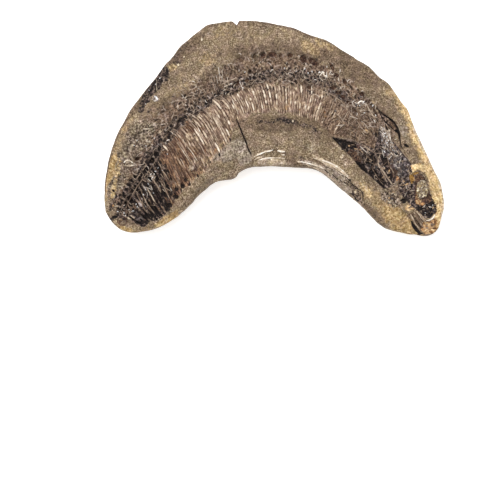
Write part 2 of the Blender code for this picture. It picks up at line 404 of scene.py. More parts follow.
# the rind: at the two ends of the stone, 1 at the outline, falling to 0 over a ragged width
def paintRind():
    inset = outer + 0.9 * waves(3.0, 51) + 0.8 * waves(1.1, 52)

    # how far along is past the part's end, and the part's band inside the outline
    def part(name, wander=0.0):
        end, edge, width, gain, gainAlong = rind[name]
        return fade(*end, along + wander), 1 - fade(*edge, inset / (width + gain * fade(*gainAlong, along)))

    past, band = part("tail", 0.01 * waves(3.0, 50))
    tail = (1 - past) * band
    head, golden = (past * band for past, band in map(part, ("head", "golden")))
    foot = (1 - fade(*rind["foot"], reach + 0.6 * waves(2.0, 53))) * (1 - fade(*rind["footAlong"], along))
    tip = 1 - fade(*rind["tip"], along + 0.004 * waves(2.0, 54))
    rim = np.clip(tail + head + foot + tip, 0, 1)
    lay("rind", rim * (1 - 0.42 * fade(0.12, 0.19, along) * tail - 0.3 * foot) * (0.9 + 0.3 * waves(3.5, 6)))
    lay("gold", golden, 0.7)
    lay("rind", (1 - fade(0.8, 1.5, line)) * fade(0.82, 0.9, along), 0.62)
    lay("straw", head, 0.86)
    lay("straw", bell(3.6, 1.6, outer + 0.5 * waves(2.0, 5)) * plateau(*rind["strawAlong"], along), 0.55)
    pale = 1 - fade(0.2, 1.6, np.minimum(outer, reach + 0.6) + 0.5 * waves(2.0, 49))
    lay("cream", pale * head * fade(0.72, 0.8, along), 0.62)
    lay("cream", pale * rim * (1 - fade(0.5, 0.6, along)), 0.3)
    # painted shade: the thin dark line of the outline, where the edge rounds off
    dark = (1 - fade(0.1, 0.5, outer)) * fade(0.02, 0.05, along) * (1 - 0.8 * fade(0.62, 0.7, along))
    lay("shade", dark, 0.95)
    fadeOut(("hole", "vein", "flesh", "bed", "scales", "pebble"), np.clip(tail ** 2 + foot + tip, 0, 1))
    fadeOut(("rind",), 0.9 * dark)


# places on the stone by their paint: centre, half sizes, turn in degrees, strength and, for those
# that are raised or sunk, lift
patches = {
    "slate": (
        (-14.3, -8, 5.6, 3.1, 35, 0.9, 0.1), (-19.9, -10.5, 3, 1.5, 30, 0.6),
        (-10.1, -10.1, 2.6, 3.6, -20, 0.85), (-22.8, 33.2, 5, 2, 30, 0.35),
        (44.8, -0.7, 1.3, 3, 25, 0.6, 0.1), (47.2, -4.9, 1.2, 3.6, 25, 0.4),
        (45.8, -0.3, 1.4, 2.4, 25, 0.5), (-23.4, -18.9, 8, 1.7, 33, 0.42), (-26.2, 33.4, 1.6, 0.9, 30, 0.5),
        (11.5, 18.2, 2.2, 1.2, -10, 0.4), (33.2, 10.1, 1.8, 1.2, -40, 0.35),
        (-50, -35.3, 3.4, 0.8, -8, 0.4),
    ),
    "pebble": ((40.9, -24.5, 4.4, 2.8, -35, 0.9), (45.5, 0, 2, 3.6, 25, 0.6)),
    "cream": (
        (29, -18.9, 2.2, 4.4, 42, 0.4), (23.4, -12.6, 2, 2.6, 40, 0.3), (-22.8, 33.2, 2.2, 1, 20, 0.4),
        (-50, -31.6, 1.3, 0.75, 12, 0.85, 0.2), (-31.6, 25.1, 0.45, 0.35, 0, 1, 0.1),
        (-33.6, 22.2, 0.45, 0.4, 0, 1, 0.1), (-27.2, 17.7, 0.9, 0.35, -35, 1, 0.1),
        (-25.3, 31.1, 0.45, 0.8, 0, 0.8, 0.1), (-40, -1.3, 0.6, 0.65, 0, 1, 0.2),
        (23.8, -9.9, 0.6, 0.8, -30, 1, 0.2), (25, -12.5, 0.4, 0.55, -30, 1, 0.1),
        (3.7, -5.1, 0.5, 0.35, 0, 0.9, 0.1), (6.6, 2.3, 0.35, 0.5, 0, 0.9, 0.1),
        (28.5, -22.3, 0.4, 0.8, -10, 0.8, 0.1), (14, -5.8, 1.6, 0.9, -40, 0.5),
        (16.8, 2.1, 0.3, 0.4, 0, 0.8), (13.1, -7.3, 2.4, 1.3, -35, 0.5), (31.8, -20.3, 3, 0.9, -58, 0.5),
        (-29, -14, 1.4, 1, -60, 0.6), (-16.8, 11.9, 1.2, 1, 30, 0.5),
    ),
    "gold": (
        (12.9, 28, 4.4, 2.4, -25, 0.8, 0.15), (15, 26.6, 1.6, 1.2, -25, 0.9, 0.1),
        (-4.2, 32.9, 5, 3.4, 0, 0.35), (-12.6, 34.3, 4, 2.4, 0, 0.4), (-18.2, 33.6, 5.5, 2.8, 10, 0.45),
        (40.9, 12.6, 2.2, 3.2, 35, 0.6), (-32.9, 13.3, 5.5, 4, 30, 0.45),
        (-35, 7.7, 1.5, 1.3, 0, 0.8, 0.15), (-23.1, 23.8, 4.5, 3, 20, 0.55), (44.1, 7, 1.6, 4, 25, 0.6),
        (-35.7, 21.3, 2.2, 1.4, 50, 0.7), (-17.5, 28, 4, 1.6, 0, 0.35), (21.3, -8.4, 2.5, 5, 40, 0.3),
        (32.2, -21.7, 3, 6, 45, 0.55), (35.7, -26.9, 7, 4.6, -35, 0.9), (24.8, -15.4, 3, 2, -45, 0.4),
        (-43.4, 3.5, 2.6, 1.6, 50, 0.35), (17.5, 29.4, 5, 1.7, -26, 0.6, 0.1),
        (33.9, 8, 2.4, 1.6, -40, 0.65),
    ),
    "rind": ((41.3, -30.8, 8, 3.6, -35, 0.66, 0.1),),
    "vein": (
        (-43.4, 6.3, 2.6, 0.9, 55, 0.5), (-46.9, 5.6, 4.5, 1, 52, 0.35), (12.6, 11.9, 2, 1.2, -10, 0.4),
        (46.9, -23.8, 0.9, 0.9, 0, 0.8), (43.4, -22.8, 1.2, 0.9, -20, 0.5),
        # painted shade in the groove under the rib ends, along the top of the lobe: (0, 2.6), (4.9, 2.4),
        # (2.1, 1.4), (3.5, 2.3) and (11.2, 0.3)
        (0, 2.6, 2.6, 0.6, 2, 0.65, -0.15), (4.9, 2.4, 3.4, 1, -8, 0.7, -0.15),
        (2.1, 1.4, 4, 1, -5, 0.3, -0.1), (-48.6, -11.9, 5.5, 3, 60, 0.42), (-1.8, 13.8, 2.4, 1.5, 0, 0.55),
        (3.5, 2.3, 6.5, 1.5, -4, 0.34), (11.2, 0.3, 5, 1.4, -24, 0.42), (-38.1, 17.1, 3, 1.8, 52, 0.4),
        (-44.8, 8.8, 3.4, 1, 50, 0.4), (47.9, -14, 0.9, 2.2, 12, 0.7, -0.1), (-35, 23.4, 2.2, 1, 50, 0.4),
        # painted shade along the inner edge: (14, -13.3) and (17.8, -15.6)
        (-50.8, 5.2, 5, 0.7, 50, 0.35), (-58.1, -31.1, 5, 1.3, -52, 0.5), (14, -13.3, 3, 0.9, -20, 0.72),
        (9.8, -10.8, 2.8, 0.9, -8, 0.52), (17.8, -15.6, 2.6, 1, -35, 0.66),
        (29.7, -26.2, 2.4, 0.9, -48, 0.5), (-46.2, 6.8, 2.2, 0.9, 50, 0.8),
        (-48.3, -14.7, 1.6, 1.1, 50, 0.75), (-56.3, -24.1, 1.1, 1.7, 0, 0.76),
        (-56.7, -27.6, 1, 1.6, 0, 0.62), (26.6, -22.4, 1.8, 1.1, -45, 0.7), (12.6, 12.4, 2, 1.2, -10, 0.62),
        (-33.9, 22.8, 1.8, 1.1, 45, 0.64),
    ),
    "horn": (
        # painted sheen on the skull: (39.2, -2.3), (38.5, -4.5), (42, -7) and (40.9, -9.4)
        (39.2, -2.3, 3.4, 1.3, -57, 0.72, 0.2), (38.5, -4.5, 1.6, 1, -50, 0.55),
        (42, -7, 2.4, 0.5, -55, 0.5, 0.1), (40.9, -9.4, 2.2, 0.5, -55, 0.45, 0.1),
        (-46.9, -31.5, 1.3, 0.8, 0, 0.5), (-46.9, -26.6, 1.2, 0.8, -60, 0.7),
        # a painted highlight on the tail's bone: (-42.7, -17.3)
        (-45.3, -21.7, 1.6, 0.55, -65, 0.8, 0.1), (-42.7, -17.3, 1.5, 1, -50, 0.8, 0.1),
    ),
    "den": (
        (30.8, -7, 2.6, 1.5, -40, 0.55), (29, -8.8, 1.6, 1.2, -40, 0.5), (-53.5, -32.5, 1.2, 0.8, 10, 0.7),
        (54.1, -24.7, 1.3, 1.7, 20, 0.9),
    ),
    "rust": (
        (4.9, 8.8, 2.6, 3, 0, 0.36), (13.3, 7, 2, 2.4, 0, 0.34), (17.8, 4.9, 1.6, 2.2, -30, 0.4),
        (4.5, 7.3, 0.8, 1.6, 0, 0.5), (9.1, 6.6, 0.7, 1.4, 0, 0.4), (-21.3, -8.4, 2.4, 1.4, 35, 0.4),
        (-24.1, -7.7, 1.6, 2.2, -60, 0.35), (-57.4, -24.5, 0.6, 0.5, 0, 0.5),
        (-56.1, -27.1, 0.9, 0.5, 20, 0.5), (43.6, -18.5, 1.6, 1.3, -50, 0.45, 0.1),
        (50.4, -25.2, 1.2, 1.5, 20, 0.5, 0.1), (51.8, -26.4, 1.1, 0.7, -25, 0.55, 0.1),
        (49.5, -23.8, 0.7, 1, 0, 0.5),
    ),
    "straw": (
        (50.8, -25, 1.2, 1.8, 25, 0.5), (45.8, 4.5, 1.2, 3, 28, 0.5), (56.5, -22, 2.2, 5.2, 12, 0.7),
        (46.9, -28.3, 2.4, 1.3, -35, 0.5, 0.15), (-29.7, -14.7, 1.8, 1, -62, 0.35),
        (-25.2, 34.6, 2.4, 0.9, 20, 0.35), (32.5, -22, 4.6, 1.5, -58, 0.6),
        (15.7, 30.1, 2.6, 0.8, -26, 0.5), (-53.4, -32.5, 1.1, 0.9, -20, 0.4, 0.1),
    ),
    "honey": ((48.2, -17.7, 1.8, 1, 72, 0.66, 0.1), (50, -15.7, 1.4, 0.7, 25, 0.6, 0.1)),
    "shade": (
        (48.3, -7.7, 1.4, 3.4, 28, 0.6), (15.4, -12.6, 2.6, 1, -30, 0.9), (5.6, 26.6, 28, 4, 0, 0.75),
        (2.1, 1.4, 18, 3, 0, 0.85), (16.8, -2.1, 7, 3, -40, 0.6), (-24.1, 12.6, 12, 4.5, 38, 0.9),
        (27.3, 21.7, 12, 4, -35, 0.9), (-40.6, 3.5, 10, 6, 50, 0.75), (-30.8, 28.7, 9, 3.6, 40, 0.85),
        (9.1, -13.3, 3, 2, 0, 0.8), (-13.6, 19.6, 11, 4, 28, 0.8), (24.8, -10.5, 3, 6, 40, 0.4),
        (38.8, 7, 5, 7, 40, 0.5), (-33.6, 17.5, 6, 3, 45, 0.5), (-27.3, -21.7, 10, 0.9, 35, 0.4),
        (-4.2, -7.7, 9, 2, 0, 0.4), (-49, 7, 7, 1.6, 50, 0.9), (-8.4, 29, 8, 3, 0, 0.5),
    ),
    "lilac": (
        (-49, -29.7, 2.4, 1.5, -50, 0.55), (-43.4, -20.6, 2.6, 1, -62, 0.5), (-46.9, -31.5, 1.6, 1, 0, 0.9),
    ),
    "russet": ((17.8, 2.4, 3, 3.4, -30, 0.6),),
    "bone": ((48.6, -22.4, 1.2, 1.5, 0, 0.9, -0.2), (46.2, -21.3, 2.2, 2.6, 20, 0.6)),
    "hole": (
        (45.7, -25.9, 1.05, 0.8, 0, 1, -0.8), (33.9, -12.6, 1.3, 1.1, -40, 0.6, -0.3),
        (-45.5, -15.4, 1.2, 1.1, 50, 0.6),
    ),
}
# places where the pale rind has worn off: centre, half sizes, turn and how much of it
worn = (
    (-58.4, -31.1, 6.5, 2.6, -52, 0.85), (33.2, -29, 5.6, 2.4, -45, 0.9), (-46.9, -35.7, 9, 1.4, 5, 0.4),
    (-59.5, -23.8, 1, 4.5, 0, 0.4),
)
# the hollow in the inner rim, which is in two of the paints: both darken it with painted shade
hollow = ((23.8, -18.7), (26.6, -18), (27.6, -19.8), (30.6, -22.2), (31, -24.5), (30.4, -26.1),
           (28, -24.1), (26.2, -21.7))
# outlines by their paint: strength, lift and corners
regions = {
    "bed": (
        (0.9, -0.1, (16.8, 9.8), (23.1, 11.2), (32.2, 9.4), (37.1, 5.6), (37.8, 0), (35, -7.7),
         (27.6, -3.8), (19.9, -2.4), (16.8, 2.1)),
        (1, -0.5, (36.4, 6.6), (38.8, 4.9), (40.9, 3.1), (43, 0.7), (43.4, -1.8), (40.9, 0.2), (38.8, 2.1),
         (37.1, 5.2)),
    ),
    "bone": (
        (1, -0.3, (20.3, -3.1), (24.1, -3.5), (28, -3.8), (31.5, -5.9), (35, -7), (36.4, -3.5), (36.8, 0),
         (38.5, 0.3), (41.3, -4.2), (44.4, -8), (47.6, -11.9), (47.2, -16.4), (45.1, -18.5), (42.7, -18.5),
         (41.3, -20.6), (38.5, -21.3), (36.8, -19.9), (34.3, -17.7), (30.8, -14.5), (27.3, -10.7),
         (23.4, -6.6)),
        (1, -0.3, (43.8, -16.8), (47.2, -15.4), (48.6, -19.6), (48.3, -22.4), (49.7, -24.5), (52.1, -27.6),
         (50.8, -29.4), (47.9, -26.9), (45.5, -24.5), (43.4, -21.3)),
        (0.75, -0.2, (48.6, -15.7), (50.8, -15.3), (52.7, -16.8), (53.7, -19.1), (54.4, -21.7),
         (55.3, -24.1), (57.2, -27.1), (57, -29.4), (54.9, -31.8), (52.5, -31.8), (50.4, -28.7),
         (47.9, -26.2), (46.9, -23.8), (48.3, -19.6)),
    ),
    "lilac": (
        (0.95, 0.6, (36.8, -0.3), (38.5, 0.3), (41.3, -4.2), (44.4, -8), (47.6, -11.9), (47.2, -16.4),
         (44.1, -17.5), (40.9, -12.9), (38.5, -8.8)),
    ),
    "den": (
        (0.6, 0, (25.2, -8), (27.3, -7), (30.4, -9.4), (30.8, -12.6), (28.7, -12.2), (26.6, -10.1)),
        (0.5, 0, (39.2, -12.9), (41.3, -11.2), (44.1, -16.1), (42.7, -18.5), (40.6, -16.8)),
        (0.5, 0, (38.5, 4.2), (40.9, 2.4), (42.7, 0), (42.7, -1), (40.6, 0.7)),
        (0.6, 0, (49, -16.8), (50.8, -15.7), (52.8, -17.1), (54.2, -20.3), (54.9, -25.9), (52.8, -26.6),
         (51.1, -27.3), (49, -25.2)),
        (0.5, -0.2, (46.9, -30.1), (49.3, -29.2), (53.2, -33.1), (52.1, -36), (51.1, -37.1), (49.5, -35.7),
         (47.8, -32.9)),
        (0.3, -0.3, *hollow),
    ),
    "hole": (
        # the first three: gaps along the lip's edge, sunk and painted black as their deep shadow
        (0.9, -0.9, (20.2, -3.3), (22.4, -3.7), (25.5, -4.5), (28.7, -5.2), (29.2, -6.6), (28, -7.7),
         (26.9, -7), (25.9, -8.3), (24.1, -6.8), (21.7, -5.1)),
        (0.8, -0.8, (28.7, -11.2), (31.5, -12.6), (33.2, -15.4), (32.2, -15.7), (30.4, -14.3),
         (28.7, -12.6)),
        (0.95, -1, (33.9, -13.3), (36, -15), (38.5, -18.2), (38.8, -21), (36.8, -19.9), (34.3, -17.5),
         (33.2, -15.7)),
        (1, -0.6, (37.3, -9.8), (39.5, -10), (40.2, -12.9), (38.1, -13.3)),
        (0.8, -0.6, (31.5, -9.4), (33.6, -8.9), (35.7, -10.1), (35.9, -12.2), (34.6, -13.6), (32.2, -12.9)),
        (0.85, -0.6, (38.7, -13.3), (40.2, -14.3), (41.6, -17.1), (40.9, -18.5), (39.5, -16.4)),
        (1, -0.7, (40.1, 3.6), (41.1, 3.1), (42.5, 2.2), (43.6, 0.2), (44.2, -2.1), (44.3, -4.7),
         (43.6, -3.5), (43.3, -2.1), (42.2, -0.9), (43, -0.3), (42.3, 1.3), (40.9, 2.3)),
        (0.7, -0.2, (50.4, -27.6), (52.8, -26.8), (56, -25.2), (57, -27.3), (57, -29.7), (54.9, -31.1),
         (53.2, -31.1), (51.4, -29.4)),
        (1, -0.7, (47.8, -32.2), (48.6, -32.7), (49.9, -34.6), (51.1, -36), (52.5, -36.9), (50.9, -37.3),
         (49.3, -35.9), (48.3, -34.3)),
        (0.42, -0.3, (-46.2, 10.8), (-43.8, 15), (-41.3, 17.8), (-39.9, 17.1), (-41.3, 14), (-43.4, 11.9),
         (-45.1, 9.8)),
    ),
    "straw": (
        (0.8, 0.2, (47.9, -13.3), (51.1, -11.9), (54.6, -15.4), (56, -19.6), (54.9, -20.3), (53.2, -16.1),
         (50.4, -14.3), (48.6, -15.7)),
    ),
    "slate": (
        (0.9, 0.35, (50, -19.2), (51.4, -18.2), (53.2, -18.5), (54.2, -21.3), (53.5, -24.1), (50.8, -24.8),
         (49.7, -22)),
        (0.85, 0, (9.1, -11.2), (12.9, -11.5), (17.1, -13.3), (19.9, -15), (23.4, -17.8), (26.6, -20.6),
         (27.3, -23.1), (25.5, -22.8), (22.4, -19.9), (18.2, -16.4), (14, -13.6), (10.1, -12.6)),
        (1, 0.15, (17.5, -12.6), (19.9, -13.3), (23.4, -15.4), (26.2, -17.8), (25.2, -18.9), (21.7, -16.8),
         (18.5, -14.7)),
    ),
    "amber": (
        (0.95, 0.2, (52.1, -33.1), (54.9, -32.7), (57.2, -31.1), (57.6, -35), (56, -37.1), (53.2, -37.1),
         (51.4, -35.3)),
    ),
    "shade": (
        (0.75, -0.1, (4.2, -8.4), (7, -8.4), (7.7, -12.6), (4.2, -12.6)),
        (0.95, -0.2, (30.8, -26.6), (32.2, -26.1), (35, -28.5), (38.5, -32.5), (39.2, -34.3), (36.8, -33.2),
         (33.6, -30.8), (31.5, -28.3)),
        (1, -0.1, (-37.8, 22.8), (-35.7, 25.5), (-32.5, 29.4), (-29.4, 31.5), (-26.2, 32.9), (-25.2, 31.1),
         (-26.6, 29), (-30.1, 26.9), (-32.5, 24.8), (-34.3, 23.1), (-36.4, 21.7)),
    ),
    "cream": (
        (0.47, 0.15, (-7.1, -12.1), (-4.9, -11), (-1, -10.1), (4, -10.6), (4.2, -11.7), (6.6, -11.9),
         (6.3, -12.8), (-1, -13.5), (-5.6, -12.9)),
        (0.92, 0.3, (13.6, -9.4), (16.4, -10.5), (19.2, -11.9), (22.6, -13.5), (24.7, -15.7), (26.4, -17.7),
         (25.5, -17.8), (23.4, -16.1), (21, -14.3), (18.5, -13.1), (16.1, -11.9), (13.6, -10.5)),
    ),
    "vein": (
        (0.42, 0, (30.4, -26.2), (31.7, -25.7), (34.3, -28.3), (36.8, -31), (35.7, -32.2), (33.2, -30.4),
         (31.1, -28.3)),
        (0.55, 0, *hollow),
        (0.78, -0.2, (-47.6, 8.4), (-46.2, 11.5), (-43.4, 15.7), (-40.6, 19.2), (-38.1, 22.2),
         (-36.6, 19.9), (-36.9, 17.5), (-39, 15.6), (-39.7, 13.6), (-42.3, 11.9), (-43.4, 9.4), (-45.8, 8)),
        (0.5, -0.1, (-36.8, 23.8), (-34.3, 27.1), (-31.8, 29.7), (-28.7, 31.1), (-28.7, 29.7),
         (-31.1, 27.6), (-33.6, 24.8)),
    ),
    "horn": (
        (0.9, 0.15, (-42.7, 10), (-42.2, 11.2), (-41.1, 11.7), (-40.2, 10.1), (-40.6, 9.3), (-42, 9.4)),
    ),
}
# dark pits along the back: centre, half sizes, turn and how dark
pits = (
    (-11.9, 24.1, 1.4, 0.8, 10, 0.5), (-6.9, 25, 0.6, 0.9, 0, 0.45), (-3.7, 25.3, 0.9, 0.9, 0, 0.62),
    (-0.5, 25.8, 1.35, 0.8, -5, 1), (2.4, 25.3, 0.6, 0.9, 0, 0.45), (5.7, 25.4, 0.9, 0.8, 0, 0.7),
    (10.3, 24.2, 1.3, 0.95, -65, 1), (13.8, 23.1, 1.6, 0.95, -40, 0.85), (18.4, 26.1, 0.8, 1.1, 0, 0.42),
    (20.3, 21.5, 1.3, 0.5, -60, 0.9), (21.8, 18.3, 0.8, 0.9, 0, 0.8), (12.6, 14.2, 1, 0.7, -20, 0.6),
    (20.8, 14.2, 1.05, 0.65, -10, 1), (22.4, 12.5, 0.95, 0.55, -15, 1), (24.1, 10.9, 0.85, 0.65, -20, 1),
    (26.2, 8.8, 0.9, 0.6, -35, 0.9), (27.8, 6.3, 1.4, 0.5, -30, 0.9), (30.8, 11.9, 0.8, 0.7, -30, 0.7),
    (24.8, 16.1, 0.6, 0.9, 30, 0.7), (-8.4, 19.9, 0.6, 0.6, 0, 0.6), (-9.4, 16.8, 0.8, 0.6, 40, 0.9),
    (-12.9, 15.7, 0.9, 0.7, 40, 0.9), (-47.8, -10.7, 1, 0.6, 20, 0.8),
)
# black cells of the tail, between the backbone and the ribs, and a hole beside the skull:
# centre, half sizes and turn
blackCells = (
    (46.4, -6.2, 0.95, 0.5, -28), (-50.1, -25.4, 1.8, 0.75, -75), (-51.7, -27.1, 1.5, 0.55, -70),
    (-49.8, -22, 0.9, 0.7, -60), (-48.2, -20.9, 1.2, 0.7, -60), (-53.3, -28.5, 0.8, 0.6, -60),
    (-52.5, -23.4, 1.3, 0.45, -75), (-55.2, -23.8, 0.7, 0.35, -60), (-56.3, -21.9, 0.5, 0.3, -60),
    (-44.7, -14.9, 0.9, 0.7, 50), (-46.9, -16.8, 0.9, 0.8, 40), (-42.8, -11.4, 1.2, 0.8, 50),
    (-41.2, -9.1, 1, 0.8, 50), (-40.1, -7.2, 1, 0.5, 80), (-49.1, -28.9, 0.9, 0.6, -60),
    (-44.7, -25.4, 2, 0.6, -65), (-42.1, -21.5, 2.1, 0.75, -62), (-40.2, -24.4, 2.1, 0.7, -60),
    (-43, -27.5, 1.8, 0.55, -60), (-38.6, -23.1, 1.4, 0.6, -60), (-45, -31.1, 1.1, 0.9, 0),
    (-46.5, -33.1, 1, 0.6, 0), (-55.8, -31.1, 1.1, 0.6, 10), (-46.4, -23.4, 1.7, 0.5, -65),
    (-47.9, -27.6, 1.5, 0.5, -65), (-41.3, -28.7, 1.6, 0.5, -60), (-43.4, -17.7, 1.1, 0.6, -60),
    (-40.6, -18.2, 1.2, 0.5, -60), (-32.1, -20.3, 0.85, 0.6, -70), (-34.2, -21.5, 0.7, 0.7, 0),
    (-34.4, -24.1, 1, 0.7, -20), (-31, -18, 0.8, 0.45, -60), (-36.8, -26.9, 1, 0.7, 30),
    (-38.1, -20.3, 0.8, 0.5, -60), (-36, -17.8, 0.7, 0.4, -60), (-37.1, -15, 0.8, 0.4, -60),
)
# thin marks by their paint: half width, strength, lift and path
marks = {
    "hole": (
        (0.4, 1, -0.9, (-13.1, 3.1), (-11.7, -0.3), (-10.1, -4.5), (-8.9, -7.3), (-8, -9.1)),
        (0.25, 0.7, -0.3, (-22.8, -12.2), (-20.6, -10.8), (-18.5, -9.4)),
        (0.4, 1, -0.6, (35.9, 6.9), (37.7, 5.4), (39.4, 4), (41.5, 2.8)),
        (0.32, 1, -0.5, (43.7, -1.4), (43.9, -3.5), (44.4, -5.9), (45, -7.3)),
        (0.36, 1, -0.5, (36.9, 5.8), (38.1, 3.5), (39.4, 1.8), (40.9, 0.2), (42.7, -1.4)),
        (0.3, 0.9, -0.4, (38.8, 4.9), (40.4, 3.3), (42, 2.3), (42.9, 0.7)),
        (0.22, 0.8, -0.4, (48.3, -29.9), (50, -32.5), (51.8, -35.3)),
        (0.2, 0.7, -0.4, (49.5, -29.2), (51.3, -31.7), (52.8, -33.9)),
        (0.26, 0.6, -0.2, (56.3, -20.1), (56.6, -20.8), (56.7, -21.5)),
        (0.3, 0.7, -0.3, (41.6, -4.9), (43.8, -7.3), (45.8, -9.8), (47.6, -12.2)),
        (0.22, 0.6, -0.3, (4.1, -7.7), (4.2, -9.1), (4.3, -11.2)),
        (0.25, 0.5, -0.2, (-7.3, -12.9), (-4.2, -13.5), (-0.3, -13.8), (3.5, -13.6)),
        (0.26, 0.55, -0.3, (10.1, -13.1), (12.9, -13.8), (16.8, -15.6)),
        (0.28, 0.9, -0.4, (15.7, -12), (18.5, -13.4), (21.7, -15), (24.8, -17), (26.8, -18.5)),
        (0.28, 0.85, -0.4, (17.3, -14.3), (21, -16.8), (23.8, -18.5), (26.6, -19.9)),
        (0.3, 0.9, -0.3, (27.3, -23.1), (28.7, -24.8), (30.4, -26.6)),
        (0.2, 0.6, -0.2, (19.6, -17.8), (22.4, -20.2), (25.5, -22.8)),
        (0.3, 0.9, -0.4, (26.6, -17.8), (27.6, -19.8), (30.7, -22.3), (31.2, -24.5), (30.6, -26.2)),
        (0.22, 0.5, -0.3, (31.1, -26.2), (33.9, -28.7), (37.1, -32.2)),
        (0.35, 0.45, -0.2, (-30.8, -20.6), (-24.8, -17.1), (-20.3, -14.3), (-14.7, -11.2)),
        (0.4, 0.6, -0.3, (-2.1, 5.6), (-5.6, 4.9), (-8.4, 3.8), (-10.8, 2.1)),
        (0.2, 0.6, -0.2, (1.4, 28), (1.3, 25.5), (1.5, 22.8)),
        (0.3, 0.6, -0.2, (38.5, -6.6), (36.8, -8.4), (35, -8)),
        (0.28, 0.6, -0.2, (-51.4, -34.5), (-49, -33.2), (-46.2, -34.6)),
        (0.25, 0.6, -0.2, (-54.9, -1.8), (-53.2, -2.1)), (0.25, 0.6, -0.2, (-57.4, -7.7), (-55.3, -8)),
        (0.25, 0.6, -0.2, (-58.1, -11.5), (-56, -11.9)), (0.3, 0.6, -0.2, (-55.3, -17.5), (-52.1, -17.1)),
    ),
    "vein": (
        # painted shade: a dark smear in the groove under the rib ends, along the top of the lobe
        (1.3, 0.56, -0.15, (-5.6, 2.1), (-1.4, 2.1), (3.5, 3.1), (7.7, 1.4), (12.6, 0.3), (16.8, -1.8)),
    ),
    "cream": (
        (0.42, 1, 0.2, (-7.1, -10.1), (-5.6, -9.2), (-3.5, -8.4), (-0.1, -7.7)),
        (0.5, 1, 0.2, (1.4, -8), (2.6, -8.2), (3.8, -8.2)),
        (0.42, 1, 0.2, (-6.8, -11), (-5.6, -10.5), (-4.3, -9.9)),
        (0.45, 1, 0.2, (2.4, -9.1), (3.1, -9.2), (3.8, -9.3)),
        (0.55, 1, 0.1, (-4.2, -10.7), (-1, -10.4), (2.1, -10.5)),
        (0.4, 1, 0.2, (8.4, -11.5), (12.2, -12.3), (15.4, -13.4), (17.7, -14.2)),
        (0.3, 0.7, 0.1, (18.9, -14), (21.7, -15.6), (24.5, -17.7)),
        (0.5, 0.62, 0.1, (17.5, -13.4), (19.9, -14.5), (22.4, -16.1), (24.5, -17.8)),
        (0.3, 0.5, 0.1, (19.9, -3.7), (21.7, -5.6), (24.1, -7.5), (26.6, -9.8), (29, -12.6), (32.2, -15.7),
         (35.7, -19.2), (38.1, -21.5)),
        (0.34, 0.5, 0.12, (-30.8, -19.9), (-27.6, -17.8), (-24.8, -16.1), (-20.3, -13.5), (-14.7, -10.1)),
    ),
    "den": (
        (0.3, 0.7, -0.1, (50, -36.9), (52.5, -37.8), (54.9, -37.6), (57, -36), (58.1, -34.3)),
        (0.32, 0.85, -0.25, (-54.4, -31.1), (-52.8, -31), (-51.8, -32.2), (-52.1, -33.8), (-53.7, -33.9),
         (-54.8, -32.5), (-54.4, -31.1)),
    ),
    "slate": (
        (0.3, 0.9, 0.2, (-41.1, 17.1), (-41.1, 15.4), (-40.9, 13.3)),
        (0.3, 0.8, 0.2, (-40.2, 17.5), (-39.2, 18), (-38.5, 17), (-39.4, 15.4)),
    ),
}


# each listed place as a spot, an outline or a stroke, in this order
def paintPlaces():
    px, py = 0.75 * x + 0.25 * wx, 0.75 * y + 0.25 * wy
    for name, spots in patches.items():
        for entry in spots:
            u, v = (px, py) if max(entry[2:4]) < 1.0 else (wx, wy)
            lay(name, spot(u, v, entry[:5], 0.6), *entry[5:])
    for *shape, strength in worn:
        fadeOut(("rind", "gold", "straw", "cream"), strength * spot(wx, wy, shape, 0.6))
    for name, outlines in regions.items():
        for strength, lift, *corners in outlines:
            lay(name, area(0.6 * x + 0.4 * wx, 0.6 * y + 0.4 * wy, corners), strength, lift)
    fadeOut(("rind", "gold", "shade"), masks["bone"])
    fadeOut(("bone",), masks["slate"] * (masks["bone"] < masks["slate"] + 0.2))
    for cx, cy, sizeA, sizeB, turn, strength in pits:
        pit = spot(px, py, (cx, cy, 1.12 * sizeA, 1.12 * sizeB, turn), 0.25)
        around = spot(px, py, (cx, cy, sizeA + 0.5, sizeB + 0.5, turn), 0.25)
        fadeOut(("hole", "vein", "horn"), pit)
        lay("horn", around * (1 - pit), 0.55, 0.12)
        lay("den", pit, strength, -0.9)
    for shape in blackCells:
        lay("hole", spot(px, py, shape, 0.35), 1.0, -0.6)
    for name, paths in marks.items():
        for width, strength, lift, *path in paths:
            lay(name, stroke(px, py, path, width), strength, lift)


paintFish()
paintRind()
paintPlaces()
print("masks", ", ".join(masks))


# the border of a grid as one loop: inner edge, head, outer edge, tail
def borderLoop(grid):
    return np.concatenate([grid[:-1, 0], grid[-1, :-1], grid[:0:-1, -1], grid[0, :0:-1]])


